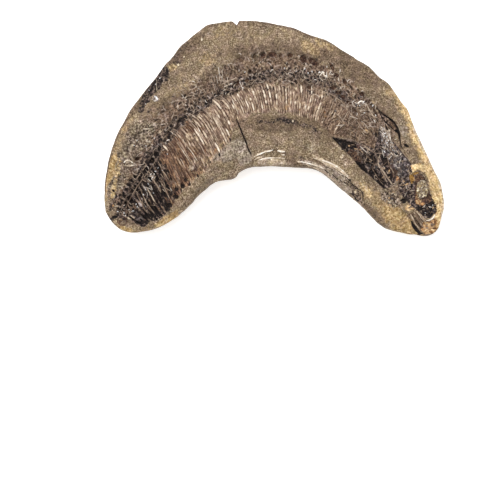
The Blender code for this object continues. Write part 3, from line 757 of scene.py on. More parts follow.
# the face, then rings round the side and back, each a scaled copy of the outline. The shoulder
# over the rim and the back under it are quarter ellipses, so scale and level run with the sine
# and the cosine of one angle.
def stoneMesh():
    border = np.minimum(np.minimum(line, 4 - line) / 1.2, np.minimum(along, 1 - along) / 0.06)
    height = stone["faceHeight"] + relief * fade(0, 0.5, border)
    height = height - stone["edgeDrop"] * (1 - fade(0, 0.8, border))
    height = height + sum(high * roughNoise(x, y, size, 61 + k)
                          for k, (size, high) in enumerate(stone["grain"]))
    outline, centre, top = borderLoop(plan), borderLoop(hub), borderLoop(height)
    away = (outline - centre) / np.linalg.norm(outline - centre, axis=1, keepdims=True)

    def ring(scale, level, keep, depth=0.0):
        flat = centre + scale * (outline - centre)
        bumps = roughNoise(flat[:, 0] + 3 * level, flat[:, 1] - 2 * level, stone["lumps"][0], 64)
        flat = flat + away * (depth * bumps)[:, None]
        return np.column_stack([flat, np.broadcast_to(level, top.shape)])[::keep]

    rim, faceScale, footScale = stone["rimHeight"], stone["faceScale"], stone["footScale"]
    rings = [ring(faceScale + (1 - faceScale) * np.sin(turn), rim + (top - rim) * np.cos(turn), 1)
             for turn in np.radians(stone["shoulder"])]
    rings += [ring(footScale + (1 - footScale) * np.cos(turn), rim * (1 - np.sin(turn)), 2,
                   stone["lumps"][1] * np.sin(turn) ** 0.5)
              for turn in np.radians(np.linspace(5, 90, stone["back"]))]
    points = np.concatenate([np.dstack([facePlan, height]).reshape(-1, 3)] + rings)
    shift = 0.5 * (points[:, :2].min(axis=0) + points[:, :2].max(axis=0))
    points[:, :2] -= shift
    return points, rings, shift


# four corners of each face between two rows of points, with their followers
def quadStrip(near, nearNext, farNext, far):
    return np.stack([near, nearNext, farNext, far], axis=-1).reshape(-1, 4)


# the grid's quads, a strip from each ring to the next, with three triangles for every other
# point where the rings halve, and the foot as one face
def stoneFaces(rings):
    grid = np.arange(along.size).reshape(along.shape)
    quads = [quadStrip(grid[:-1, :-1], grid[1:, :-1], grid[1:, 1:], grid[:-1, 1:])]
    starts = grid.size + np.cumsum([0] + [len(ring) for ring in rings])
    loops = [borderLoop(grid)] + [np.arange(*ends) for ends in zip(starts, starts[1:])]
    triangles = []
    for upper, lower in zip(loops, loops[1:]):
        nextLower = np.roll(lower, -1)
        if len(upper) == len(lower):
            quads.append(quadStrip(upper, lower, nextLower, np.roll(upper, -1)))
        else:
            a, b, c = upper[::2], upper[1::2], np.roll(upper[::2], -1)
            triangles += [np.stack(corners, axis=-1)
                          for corners in ((a, lower, b), (b, lower, nextLower), (b, nextLower, c))]
    return np.concatenate(quads), np.concatenate(triangles), loops[-1][::-1]


# a new object of the scene that holds the data
def addObject(name, data):
    thing = bpy.data.objects.new(name, data)
    bpy.context.scene.collection.objects.link(thing)
    return thing


# puts points, quads, triangles and one many-sided face into a new object
def meshObject(name, points, quads, triangles=(), fan=(), smooth=True):
    triangles = np.asarray(triangles, int).reshape(-1, 3)
    corners = np.concatenate([quads.ravel(), triangles.ravel(), np.asarray(fan, int)])
    sizes = np.array([4] * len(quads) + [3] * len(triangles) + [len(fan)] * (len(fan) > 0))
    mesh = bpy.data.meshes.new(name)
    mesh.vertices.add(len(points))
    mesh.vertices.foreach_set("co", np.asarray(points * mm, np.float32).ravel())
    mesh.loops.add(len(corners))
    mesh.loops.foreach_set("vertex_index", corners.astype(np.int32))
    mesh.polygons.add(len(sizes))
    mesh.polygons.foreach_set("loop_start", (np.cumsum(sizes) - sizes).astype(np.int32))
    mesh.polygons.foreach_set("loop_total", sizes.astype(np.int32))
    mesh.polygons.foreach_set("use_smooth", np.full(len(sizes), smooth))
    mesh.update(calc_edges=True)
    mesh.validate()
    piece = addObject(name, mesh)
    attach(piece, "root")
    print(name, len(quads) * 2 + len(triangles) + max(len(fan) - 2, 0), "triangles")
    return piece


# one number for each point of a piece, 0 for the points past the last value
def addMask(piece, name, values):
    full = np.zeros(len(piece.data.vertices), np.float32)
    full[:values.size] = np.asarray(values).ravel()
    piece.data.attributes.new(name, "FLOAT", "POINT").data.foreach_set("value", full)


# a mask of the face carried down the side: the value at the border, fading to that of the
# skin, at once or, for the paints of the rind, over a third of the way
def withSide(name, values):
    border, parts = borderLoop(np.clip(values, 0, 1)), [values.ravel()]
    for k, (px, py, pz) in enumerate(ring.T for ring in rings):
        wander = softNoise(px, py, 2.5, 65)
        slow = name in ("rind", "gold", "straw")
        depth = fade(1, 6, k + 2 * wander) if slow else fade(-1, 2.5, k + wander)
        own = stone["skin"].get(name, 0) * (1 + 0.7 * softNoise(px + 40, py + 3 * pz, 7.0, len(name)))
        parts.append(border[::len(border) // len(px)] * (1 - depth) + own * depth)
    return np.clip(np.concatenate(parts), 0, 1)


points, rings, shift = stoneMesh()
facePoints = points[:along.size].reshape(along.shape + (3,))
nodule = meshObject("nodule", points, *stoneFaces(rings))
for name, values in masks.items():
    addMask(nodule, name, withSide(name, values))
for name, values in {"phase": phase, "ribPlace": run + ribBend(run, rise), "rise": rise,
                     "scaleEdge": scaleEdge, "scaleOwn": scaleOwn}.items():
    addMask(nodule, name, values)
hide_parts("nodule_half")


# values of a grid at fractional places, blended between the four nearest of its points
def sample(grid, i, j):
    i0 = np.clip(np.floor(i).astype(int), 0, grid.shape[0] - 2)
    j0 = np.clip(np.floor(j).astype(int), 0, grid.shape[1] - 2)
    s, t = (np.clip(part, 0, 1).reshape(part.shape + (1,) * (grid.ndim - 2)) for part in (i - i0, j - j0))
    return blend(grid, i0, j0, i0 + 1, j0 + 1, s, t)


# the point of the face at a place along (0 to 1) and a line (0 to 4)
def onFace(place, across):
    return sample(facePoints, np.clip(place, 0, 1) * rows, np.clip(across, 0, 4) / 4 * columns)


# the face as a square raster of heights: the width of its cells and its first corner
levelCell = 0.35
levelStart = facePoints.reshape(-1, 3)[:, :2].min(axis=0) - 2


# the mean height of the points in each cell; an empty cell takes the mean of its neighbours
def levelRaster():
    flat = facePoints.reshape(-1, 3)
    cell = np.floor((flat[:, :2] - levelStart) / levelCell).astype(int)
    shape = cell.max(axis=0) + 6
    index = cell[:, 0] * shape[1] + cell[:, 1]
    total = np.bincount(index, flat[:, 2], shape[0] * shape[1]).reshape(shape)
    count = np.bincount(index, minlength=shape[0] * shape[1]).reshape(shape).astype(float)
    for _ in range(6):
        around = [(np.roll(total, k, axis), np.roll(count, k, axis)) for axis in (0, 1) for k in (1, -1)]
        sums, counts = (sum(part[k] for part in around) for k in (0, 1))
        fill = (count == 0) & (counts > 0)
        total = np.where(fill, sums / np.maximum(counts, 1), total)
        count = np.where(fill, 1.0, count)
    return total / np.maximum(count, 1)


levels = levelRaster()


# the face's height at places given in the object's own millimetres
def faceLevel(px, py):
    return sample(levels, (px - levelStart[0]) / levelCell - 0.5, (py - levelStart[1]) / levelCell - 0.5)


# Rods that lie on the face: a ring of sides carried along each centre line. A point of the ring
# is the centre plus the sideways width times cos and the upward height times sin. The thickness
# swells in the middle by the sine of the way along, to a power, and is stout times the look's.
def rodMesh(name, look, centres, stout, tones):
    count, steps = centres.shape[:2]
    sides = look["sides"]
    swell = stout * np.sin(np.pi * np.linspace(look["ends"], 1 - look["ends"], steps)) ** look["power"]
    forward = np.gradient(centres, axis=1)
    sideways = np.stack([-forward[..., 1], forward[..., 0], 0 * forward[..., 2]], axis=-1)
    sideways /= np.maximum(np.linalg.norm(sideways, axis=-1, keepdims=True), 1e-9)
    turn = np.linspace(0, 2 * np.pi, sides, endpoint=False)[:, None] + 0.5 * np.pi
    ring = centres[:, :, None] + swell[..., None, None] * (
        look["width"] * sideways[:, :, None] * np.cos(turn) + np.array([0, 0, look["height"]]) * np.sin(turn))
    index = np.arange(count * steps * sides).reshape(count, steps, sides)
    after = np.roll(index, -1, axis=2)
    quads = quadStrip(index[:, :-1], after[:, :-1], after[:, 1:], index[:, 1:])
    tips = np.concatenate([centres[:, 0] - 0.3 * (centres[:, 1] - centres[:, 0]),
                           centres[:, -1] + 0.3 * (centres[:, -1] - centres[:, -2])])
    firstTip, lastTip = np.repeat(index.size + np.arange(2 * count).reshape(2, count, 1), sides, axis=2)
    triangles = [np.stack([firstTip, after[:, 0], index[:, 0]], axis=-1).reshape(-1, 3),
                 np.stack([lastTip, index[:, -1], after[:, -1]], axis=-1).reshape(-1, 3)]
    rods = meshObject(name, np.concatenate([ring.reshape(-1, 3), tips]), quads, np.concatenate(triangles))
    tones = np.clip(np.broadcast_to(tones, (count, steps)), 0, 1)
    addMask(rods, "tone", np.concatenate([np.repeat(tones.ravel(), sides), tones[:, 0], tones[:, -1]]))
    return rods


# the place along of points on ribs: from the ribs' run and the line across, bent as the ribs are
def alongRibs(ribRuns, across, rounds=1):
    place = ribRuns[:, None] / flankLength * np.ones(across.shape)
    for _ in range(rounds):
        i, j = (place * rows).astype(int), (across / 4 * columns).astype(int)
        here = rise[np.clip(i, 0, rows), np.clip(j, 0, columns)]
        place = (ribRuns[:, None] - ribBend(place * flankLength, here)) / flankLength
    return place


# thin bright rods, three pieces to each rib, at the whole numbers of the phase
ribSet = {"steps": 7, "parts": 3, "width": 0.33, "height": 0.34, "sides": 6, "ends": 0.06, "power": 0.5,
          "top": 2.02, "bottom": 1.06,              # the lines across at a rib's two ends
          "from": (-0.08, 0.1), "to": (0.2, 0.4),   # a piece's ends, as shares of its rib
          "stout": (0.55, 1.3), "sunk": 0.1, "first": 0.2, "brightest": 0.76}


# a rod's points run evenly along its share of a rib, from the top line towards the bottom line
def makeRibs():
    rng = np.random.default_rng(41)
    start, parts = int(np.searchsorted(ribRun, ribSet["first"] * flankLength)), ribSet["parts"]
    which = np.repeat(np.arange(start, ribCount), parts)
    part = np.tile(np.arange(parts), ribCount - start)
    count = len(which)
    ends = np.stack([rng.uniform(*ribSet[end], count) for end in ("from", "to")], axis=1)
    share = np.clip(part[:, None] / parts + ends, 0, 1)
    t = share[:, :1] + (share[:, 1:] - share[:, :1]) * np.linspace(0, 1, ribSet["steps"])
    top = (ribSet["top"] + rng.uniform(-0.12, 0.1, ribCount))[which, None]
    bottom = (ribSet["bottom"] + rng.uniform(-0.03, 0.1, ribCount))[which, None]
    across = top + (bottom - top) * t
    place = alongRibs(ribRun[which], across, 3)
    centres = onFace(place, across)
    stout = rng.uniform(*ribSet["stout"], (count, 1))
    centres[..., 2] -= ribSet["sunk"] + 0.1 * rng.uniform(0, 1, (count, 1))
    tone = 0.5 + 0.3 * softNoise(centres[..., 0], centres[..., 1], 1.0, 43)
    tone = tone + rng.normal(0, 0.2, (count, 1)) + 0.1 * (which[:, None] % 2)
    # darker in the tail, at the russet place and at the head
    tone = tone - 0.35 * (1 - fade(0.24, 0.32, place)) - 0.2 * bell(0.62, 0.05, place)
    tone = np.minimum(tone - 0.3 * fade(0.64, 0.67, place), ribSet["brightest"])
    return rodMesh("ribs", ribSet, centres, stout, tone)


ribs = makeRibs()

# thin threads between the ribs, shorter and darker
threadSet = {"steps": 5, "each": 3, "width": 0.16, "height": 0.24, "sides": 5, "ends": 0.1, "power": 0.5,
             "lines": (1.05, 2.12), "length": (0.12, 0.4), "between": (0.25, 0.75),
             "stout": (0.7, 1.3), "tone": (0.1, 0.75), "sunk": 0.04, "first": 0.19}


# a thread's points run evenly between its two lines, at a place between two ribs
def makeThreads():
    rng = np.random.default_rng(44)
    start = int(np.searchsorted(ribRun, threadSet["first"] * flankLength))
    which = np.repeat(np.arange(start, ribCount - 1), threadSet["each"])
    count = len(which)
    top = rng.uniform(threadSet["lines"][0], 1.9, count)
    bottom = np.clip(top + rng.uniform(*threadSet["length"], count), *threadSet["lines"])
    across = top[:, None] + (bottom - top)[:, None] * np.linspace(0, 1, threadSet["steps"])
    middleRun = ribRun[which] + rng.uniform(*threadSet["between"], count) * fish["ribPitch"]
    centres = onFace(alongRibs(middleRun, across), across)
    centres[..., 2] -= threadSet["sunk"]
    stout = rng.uniform(*threadSet["stout"], (count, 1))
    return rodMesh("threads", threadSet, centres, stout, rng.uniform(*threadSet["tone"], (count, 1)))


threads = makeThreads()

# the raised rims of the scales: small arcs on the same rhombs as the pits
scaleSet = {"steps": 6, "width": 0.14, "height": 0.2, "sides": 5, "ends": 0.1, "power": 0.6,
            "radius": 0.95, "radiusSpread": (0.7, 1.8), "opening": (0.5, 1.7), "stout": (0.6, 1.4),
            "along": (0.03, 0.84), "lines": (1.9, 3.1), "lift": 0.02}


# an arc's points are its radius times cos and sin of the angle, which runs round the turn
def makeScales():
    rng = np.random.default_rng(45)
    a, b = (part.ravel() + 0.5 for part in np.meshgrid(np.arange(0, 150), np.arange(-75, 150)))
    place, riseHere = (a + b) / 2 * fish["scale"][0] / flankLength, (a - b) / 2 * fish["scale"][1]
    inside = (place > scaleSet["along"][0]) & (place < scaleSet["along"][1])
    place, riseHere = place[inside], riseHere[inside]
    column = np.clip((place * rows).astype(int), 0, rows)
    across = np.array([np.interp(r, rise[c], line[c]) for r, c in zip(riseHere, column)])
    keep = rng.uniform(0, 1, len(across)) < 0.9 - 0.5 * np.clip(across - 2.3, 0, 1)
    keep = keep & (across > scaleSet["lines"][0]) & (across < scaleSet["lines"][1])
    place, across = place[keep], across[keep]
    count = len(place)
    centre = onFace(place + rng.normal(0, 0.0012, count), across + rng.normal(0, 0.03, count))
    ahead = onFace(place + 0.005, across)
    heading = np.arctan2(ahead[:, 1] - centre[:, 1], ahead[:, 0] - centre[:, 0])
    radius = scaleSet["radius"] * rng.uniform(*scaleSet["radiusSpread"], (count, 1))
    opening = rng.uniform(*scaleSet["opening"], (count, 1))
    turn = (heading + rng.choice([0, np.pi], count, p=[0.75, 0.25]) + rng.normal(0, 0.5, count))[:, None]
    angle = turn + opening * np.linspace(-0.5, 0.5, scaleSet["steps"])
    px = centre[:, :1] + radius * (np.cos(angle) - np.cos(turn))
    py = centre[:, 1:2] + radius * (np.sin(angle) - np.sin(turn))
    centres = np.stack([px, py, faceLevel(px, py) + scaleSet["lift"]], axis=-1)
    stout = rng.uniform(*scaleSet["stout"], (count, 1))
    tone = rng.beta(1.3, 2.6, count) * (1 - 0.35 * (1 - fade(0.25, 0.32, place)) * fade(2.3, 2.6, across))
    return rodMesh("scaleRims", scaleSet, centres, stout, tone[:, None])


scaleRims = makeScales()


# random points in a turned ellipse, given by its centre, its half sizes and its turn
def scatter(rng, shape, count):
    cx, cy, sizeA, sizeB, turn = shape
    radius, angle = np.sqrt(rng.uniform(0, 1, count)), rng.uniform(0, 2 * np.pi, count)
    a, b = sizeA * radius * np.cos(angle), sizeB * radius * np.sin(angle)
    c, s = np.cos(np.radians(turn)), np.sin(np.radians(turn))
    return np.stack([cx + a * c - b * s, cy + a * s + b * c], axis=1) - shift


needleSet = {
    "steps": 5, "width": 0.1, "height": 0.16, "sides": 5, "ends": 0.12, "power": 0.5,
    "length": (0.4, 1.4), "stout": (0.6, 1.5), "bow": 0.12, "lift": 0.25,
    # where they lie: centre, half sizes and turn of the region, how many, length, heading and
    # its spread in degrees, tone
    "regions": (
        (28, 3.1, 8.5, 5.5, -40, 70, 2.6, -35, 22, 0.42), (25.9, 0, 6, 3.5, -35, 30, 2.2, 50, 20, 0.4),
        (31.5, -7.7, 5.5, 3, -40, 22, 3, -35, 40, 0.34), (36.4, -10.5, 4.6, 3, -50, 10, 2.6, -50, 35, 0.34),
        (43, -11.2, 6.5, 2.4, -54, 30, 1.8, -50, 60, 0.5),
        # painted sheen: the two regions of the next line are bright streaks where the skull shines
        (39.2, -2.3, 3, 1.4, -57, 34, 1.7, -57, 10, 0.72), (40.9, -7, 3.4, 1.6, -55, 22, 1.5, -57, 14, 0.6),
        (46.5, -22, 2.4, 1.6, -50, 14, 1.2, -40, 70, 0.5), (36.4, -18.5, 3, 1.2, -50, 5, 2, -50, 20, 0.34),
        (38.5, -14.7, 1.6, 2.4, -60, 6, 2.4, -60, 14, 0.5),
        (44.1, -20.3, 2.6, 3, 10, 14, 1.8, -40, 60, 0.5), (30.1, 8, 2.8, 1.8, -30, 20, 1.4, -20, 60, 0.7),
        (19.6, 17.1, 6.5, 2.2, -35, 30, 1.6, -35, 40, 0.5), (7.7, 18.5, 10, 2.2, -4, 46, 1.6, -5, 50, 0.45),
        (-5.6, 16.4, 7, 2, 15, 30, 1.6, 25, 45, 0.42), (-16.1, 12.6, 6, 1.8, 28, 26, 1.8, 35, 35, 0.42),
        (-27.3, 6.3, 6, 2, 40, 18, 1.6, 42, 35, 0.3), (-43.4, -16.8, 3, 2, 55, 14, 1.2, -50, 40, 0.6),
        (-51.1, -28.7, 3.4, 2, 40, 22, 1.1, -40, 70, 0.5), (-43.4, -23.8, 7, 4.6, 58, 34, 2, -60, 22, 0.4),
        (-36.4, -19.6, 4, 5, 50, 24, 2.2, -60, 12, 0.3), (-24.1, 12.2, 8.5, 2.8, 38, 70, 2, -82, 14, 0.3),
        (-18.2, 17.5, 5, 2.6, 30, 34, 2.2, -84, 12, 0.42), (-30.8, 7, 5, 2.2, 42, 26, 1.6, -70, 20, 0.26),
        (-52.5, -15.4, 2.6, 5, -10, 30, 0.9, 30, 70, 0.34), (-35.7, 0, 5, 2, 48, 20, 1.6, 50, 30, 0.3),
        (41.3, -24.5, 3.6, 2.4, -35, 22, 0.9, 0, 90, 0.5), (53.5, -28.7, 2.4, 2, 20, 12, 0.8, 30, 60, 0.55),
    ),
}


# a needle is a straight line along its heading, bowed sideways by its bow times 1/4 - t^2, where t
# runs from -1/2 to 1/2
def makeNeedles():
    rng = np.random.default_rng(52)
    parts = []
    for *shape, count, length, heading, spread, tone in needleSet["regions"]:
        px, py = scatter(rng, shape, count).T
        way = np.radians(heading + rng.normal(0, spread, count))
        length = length * rng.uniform(*needleSet["length"], count)
        parts.append(np.stack([px, py, way, length, tone + rng.normal(0, 0.2, count)]))
    px, py, way, length, tone = np.concatenate(parts, axis=1)[..., None]
    count, steps = len(px), needleSet["steps"]
    t = np.linspace(-0.5, 0.5, steps)
    bow = needleSet["bow"] * rng.normal(0, 1, (count, 1)) * length * (0.25 - t ** 2)
    cx = px + length * t * np.cos(way) - bow * np.sin(way)
    cy = py + length * t * np.sin(way) + bow * np.cos(way)
    level = faceLevel(cx, cy) + rng.uniform(0, needleSet["lift"], (count, 1))
    return rodMesh("needles", needleSet, np.stack([cx, cy, level], axis=-1),
                   rng.uniform(*needleSet["stout"], (count, 1)), tone)


needleRods = makeNeedles()


# Low faceted chips: two rings of corners, a smaller one at the top and a peak. A corner is the
# chip's length times cos and its width times sin of the corner's angle, turned and tilted.
def shardMesh(name, centre, size, turn, height, tilt, tone, corners=7, seed=46):
    rng = np.random.default_rng(seed)
    count = len(centre)
    angle = np.linspace(0, 2 * np.pi, corners, endpoint=False) + rng.uniform(-0.3, 0.3, (count, corners))
    radius = rng.uniform(0.75, 1.15, (count, corners))
    a, b = radius * np.cos(angle) * size[:, :1], radius * np.sin(angle) * size[:, 1:2]
    c, s = np.cos(turn)[:, None], np.sin(turn)[:, None]
    dx, dy = a * c - b * s, a * s + b * c
    level = faceLevel(centre[:, 0], centre[:, 1])[:, None]
    slope = tilt[:, :1] * dx + tilt[:, 1:2] * dy

    def ring(scale, z):
        return np.stack([centre[:, :1] + dx * scale, centre[:, 1:2] + dy * scale,
                         level + z + slope * scale], axis=-1)

    foot = ring(1.0, -0.9)
    foot[..., 2] = np.minimum(foot[..., 2], level - 0.5)
    bodies = [foot, ring(1.0, 0.35 * height[:, None]), ring(0.6, height[:, None])]
    peak = np.column_stack([centre, level[:, 0] + height * 1.05])
    base = np.column_stack([centre, foot[..., 2].min(axis=1)])
    index = np.arange(count * corners).reshape(count, corners)
    after, step = np.roll(index, -1, axis=1), count * corners
    quads = [quadStrip(index + k, after + k, after + k + step, index + k + step) for k in (0, step)]
    peakIndex = 3 * step + np.arange(count)[:, None] + 0 * index
    triangles = [np.stack([index + 2 * step, after + 2 * step, peakIndex], axis=-1).reshape(-1, 3),
                 np.stack([after, index, peakIndex + count], axis=-1).reshape(-1, 3)]
    piece = meshObject(name, np.concatenate([ring.reshape(-1, 3) for ring in bodies] + [peak, base]),
                       np.concatenate(quads), np.concatenate(triangles), smooth=False)
    addMask(piece, "tone", np.concatenate([np.tile(np.repeat(tone, corners), 3), tone, tone]))
    return piece


# splinters of the skull; sizes and heights are shares of a chip's size
skullSet = {
    "long": (0.7, 1.5), "wide": (0.35, 0.8), "height": (0.15, 0.5), "spread": 0.5, "tilt": 0.16,
    # where they lie: centre, half sizes and turn of the region, how many, chip size, tone
    "regions": (
        (35.7, -11.9, 5, 3, -50, 20, 0.6, 0.14), (30.8, -8.4, 4.5, 2.6, -40, 24, 0.6, 0.3),
        (43.4, -11.9, 5.5, 2.2, -54, 22, 0.7, 0.24), (39.9, -5.2, 4, 1.6, -54, 10, 0.7, 0.35),
        (54.2, -28.3, 2.6, 2.2, 10, 16, 0.6, 0.3), (28, 3.5, 7.5, 5, -40, 18, 0.6, 0.38),
        (44.4, -19.9, 2.6, 2.4, 20, 14, 0.6, 0.5), (54.4, -34.8, 2, 1.4, 0, 14, 0.7, 0.62),
        (40.9, -24.5, 3, 2.6, -35, 14, 0.6, 0.5), (46.5, -28.3, 1.6, 1.4, 24, 8, 0.7, 0.76),
        (56.3, -29.4, 0.5, 2, 10, 4, 0.5, 0.7), (39.2, -15.7, 1.6, 2.6, 30, 10, 0.6, 0.5),
        (24.8, -6.6, 3, 1.4, -35, 10, 0.5, 0.28), (36.4, -17.5, 3.4, 1.4, -50, 8, 0.5, 0.16),
        (50.4, -25.2, 1.2, 1.6, 0, 6, 0.5, 0.72),
    ),
}


# chips at random in each region, each turned nearly as the region is
def makeSkull():
    rng = np.random.default_rng(47)
    parts = []
    for *shape, count, chip, tone in skullSet["regions"]:
        centre = scatter(rng, shape, count)
        size = chip * np.stack([rng.uniform(*skullSet[way], count) for way in ("long", "wide")], axis=1)
        turn = np.radians(shape[4]) + rng.normal(0, skullSet["spread"], count)
        height = rng.uniform(*skullSet["height"], count) * chip
        tilt = rng.normal(0, skullSet["tilt"], (count, 2))
        parts.append((centre, size, turn, height, tilt, np.clip(tone + rng.normal(0, 0.16, count), 0, 1)))
    return shardMesh("skullChips", *(np.concatenate(part) for part in zip(*parts)))


skullChips = makeSkull()

stickSet = {"steps": 14, "width": 1.0, "height": 1.1, "sides": 7, "ends": 0.08, "power": 0.4, "wander": 0.16}
# sticks along smooth paths: half width, tone and path
sticks = {
    "snout": (
        (0.26, 0.5, (47.8, -30.4), (49.3, -32.9), (51.3, -35.8)),
        (0.28, 0.44, (48.9, -29.6), (50.6, -32.1), (52.3, -34.6)),
        (0.24, 0.5, (50, -29.5), (51.6, -31.5), (53.2, -33.2)),
        (0.26, 0.76, (53.2, -32.5), (54.9, -32.1), (56.5, -30.3)),
    ),
    "skull": (
        (0.18, 0.45, (23.8, -3.7), (27.6, -4.1), (31.7, -6.3), (35, -8.6), (38.5, -9.1)),
        (0.3, 0.56, (36.4, -12.4), (37.8, -14.5), (39.5, -17.1), (41.3, -19.6)),
        (0.24, 0.5, (37.1, -8.8), (36.8, -10.8), (36.4, -12.6)),
        (0.2, 0.46, (36.8, -13.3), (38.1, -16.1), (39.4, -18.9)),
        (0.18, 0.3, (36, -12.2), (33.9, -14), (32.9, -15.4)),
        (0.2, 0.4, (39.5, -10.1), (40.6, -13.3), (42, -15.7)),
        (0.18, 0.4, (34.3, -14), (36, -16.8), (38.5, -19.9)),
        (0.2, 0.5, (44.4, -7.7), (46.2, -9.8), (47.9, -12.2)),
        (0.16, 0.5, (24.8, 7.7), (27.6, 4.2), (30.4, 1)),
        (0.16, 0.45, (29.4, 5.6), (32.9, 5.2), (36.4, 3.5)),
        (0.18, 0.5, (32.2, 8.4), (33.9, 5.6), (36, 2.4), (37.4, 0)),
        # a painted highlight: the bright stick of the next line lies on a glint
        (0.28, 0.9, (29.2, 8.6), (30.4, 9.3), (31.5, 9.1)),
    ),
    "ledge": (
        (0.26, 0.8, (-7, -10.1), (-5.2, -9.2), (-3.1, -8.3), (-0.3, -7.7)),
        (0.34, 0.82, (1.2, -8), (2.4, -8.2), (3.8, -8.2)),
        (0.24, 0.78, (-6.8, -11.2), (-5.6, -10.5), (-4.2, -9.9)), (0.26, 0.76, (2.4, -9.2), (3.8, -9.3)),
        (0.26, 0.8, (-5.6, -11.4), (-2.8, -10.6), (0.3, -10.4), (3.8, -10.6)),
        (0.26, 0.82, (8.8, -11.7), (12.2, -12.4), (15.4, -13.4), (17.7, -14.2)),
        (0.3, 0.8, (16.1, -11), (18.5, -11.9), (21.3, -13.2), (23.8, -14.8), (25.9, -16.8)),
        (0.2, 0.5, (11.2, -12.8), (14.7, -14.2), (18.5, -16.4), (22.4, -19.2), (25.9, -22)),
        (0.22, 0.62, (18.2, -13.1), (21, -14.5), (23.8, -16.4)),
    ),
    "smallMarks": (
        (0.16, 0.42, (14.7, 13.6), (21, 11.2), (26.6, 7), (29.4, 4.9)),
        (0.3, 0.78, (-52.7, -12.2), (-51.8, -11.5), (-50.6, -11.5), (-49.5, -12.1)),
        (0.22, 0.66, (-52.1, -12.9), (-50.8, -13.3), (-49.3, -12.9)),
        (0.22, 0.7, (-45.8, -0.2), (-43.6, -0.3)), (0.14, 0.7, (-18.2, 15.4), (-15.7, 16.6), (-13.3, 17.5)),
        (0.14, 0.7, (-17.5, 14.3), (-14.7, 15.7)), (0.14, 0.7, (-11.9, 16.1), (-10.8, 13.3)),
        # a painted highlight: the bright stick of the next line, with the first of the bright ribs, draws a
        # glint
        (0.24, 0.84, (16.8, 19.9), (17.8, 18.2), (18.9, 17.8)),
    ),
    "brightRibsAndGlint": (
        # the first of these is a painted highlight, a glint
        (0.2, 0.8, (15.9, 18.2), (17.1, 19.6), (17.8, 19.1)),
        (0.17, 0.6, (-33.9, -5.1), (-31.8, -8.4), (-29.1, -12.4)),
        (0.17, 0.66, (-32.5, -3.5), (-29.7, -7.3), (-26.8, -11.4)),
        (0.17, 0.64, (-27.8, 2.8), (-26.6, 0.3), (-25.4, -2.1)),
        (0.15, 0.6, (-24.5, 3.8), (-22.8, 1), (-21.3, -1.4)),
        (0.17, 0.66, (-21.5, 4.9), (-19.6, 1.4), (-17.8, -2.4)),
        (0.17, 0.66, (-14.7, 10.1), (-13.5, 7.3), (-12.4, 4.9)),
        (0.17, 0.68, (-12.8, 10.5), (-11.5, 7.7), (-10.5, 4.9)),
        (0.15, 0.6, (-6.3, 10.5), (-5.6, 8), (-5.1, 5.9)),
        (0.18, 0.68, (11.5, 10.8), (11.2, 8.4), (11, 5.9)),
    ),
    "tail": (
        (0.16, 0.58, (16.3, 9.1), (15.9, 6.6), (15, 4.2)),
        (0.2, 0.28, (-53.2, -27.6), (-51.8, -24.1), (-49.9, -21), (-47.6, -17.1), (-45.1, -13.6)),
        (0.2, 0.3, (-52.5, -29.4), (-50.6, -25.2), (-48.6, -21.7), (-46.2, -18.2), (-43.8, -15),
         (-41.3, -11.2)),
        (0.26, 0.42, (-47.2, -20.3), (-45.6, -24.1), (-43.7, -27.6), (-41.8, -30.1)),
        (0.22, 0.54, (-44.8, -20.6), (-43.2, -23.4), (-41.3, -26.4)),
        (0.26, 0.42, (-43.7, -15.5), (-41.8, -19), (-39.6, -22.5)),
        (0.2, 0.44, (-39.7, -18.9), (-37.7, -22.2), (-36.4, -24.7)),
        (0.24, 0.36, (-48.2, -22.2), (-46.9, -25.4), (-45.3, -28.5)),
        (0.2, 0.42, (-40.5, -12), (-38.6, -15.2), (-36.7, -18.4)),
        (0.18, 0.4, (-51.4, -25.2), (-50.8, -27.6), (-49.7, -29.7)),
    ),
}


# Smooth curves through each stick's points, with some wander. The height is half the face's own and
# a quarter of that at each neighbour along the stick.
def makeSticks():
    steps = stickSet["steps"]
    rods = [rod for group in sticks.values() for rod in group]
    thick, tone = np.array([rod[:2] for rod in rods]).T[..., None]
    paths = np.array([spline(path, np.linspace(0, len(path) - 1, steps)) for _, _, *path in rods]) - shift

    def wander(size, seed):
        return softNoise(paths[..., 0], paths[..., 1], size, seed)

    paths += stickSet["wander"] * np.stack([wander(1.6, seed) for seed in (58, 59)], axis=-1)
    level = faceLevel(paths[..., 0], paths[..., 1])
    level = 0.5 * level + 0.25 * (np.roll(level, 1, 1) + np.roll(level, -1, 1))
    level[:, 0], level[:, -1] = level[:, 1], level[:, -2]
    return rodMesh("boneSticks", stickSet, np.dstack([paths, level + 0.35 * thick]),
                   thick * (1 + 0.25 * wander(0.9, 54)), tone + 0.2 * wander(1.1, 55))


boneSticks = makeSticks()

# grey-green crystals in the eye socket: centre, half sizes and turn of the socket
eye = {"socket": (51.9, -21.6, 2.05, 2.9, 0), "count": 64, "size": (0.2, 0.46), "height": (0.3, 0.6)}


# six-sided chips at random in the socket, turned every way
def makeCrystals():
    rng = np.random.default_rng(56)
    count = eye["count"]
    return shardMesh("eyeCrystals", scatter(rng, eye["socket"], count), rng.uniform(*eye["size"], (count, 2)),
                     rng.uniform(0, np.pi, count), rng.uniform(*eye["height"], count),
                     rng.normal(0, 0.25, (count, 2)), rng.uniform(0.1, 1, count), 6, 57)


eyeCrystals = makeCrystals()

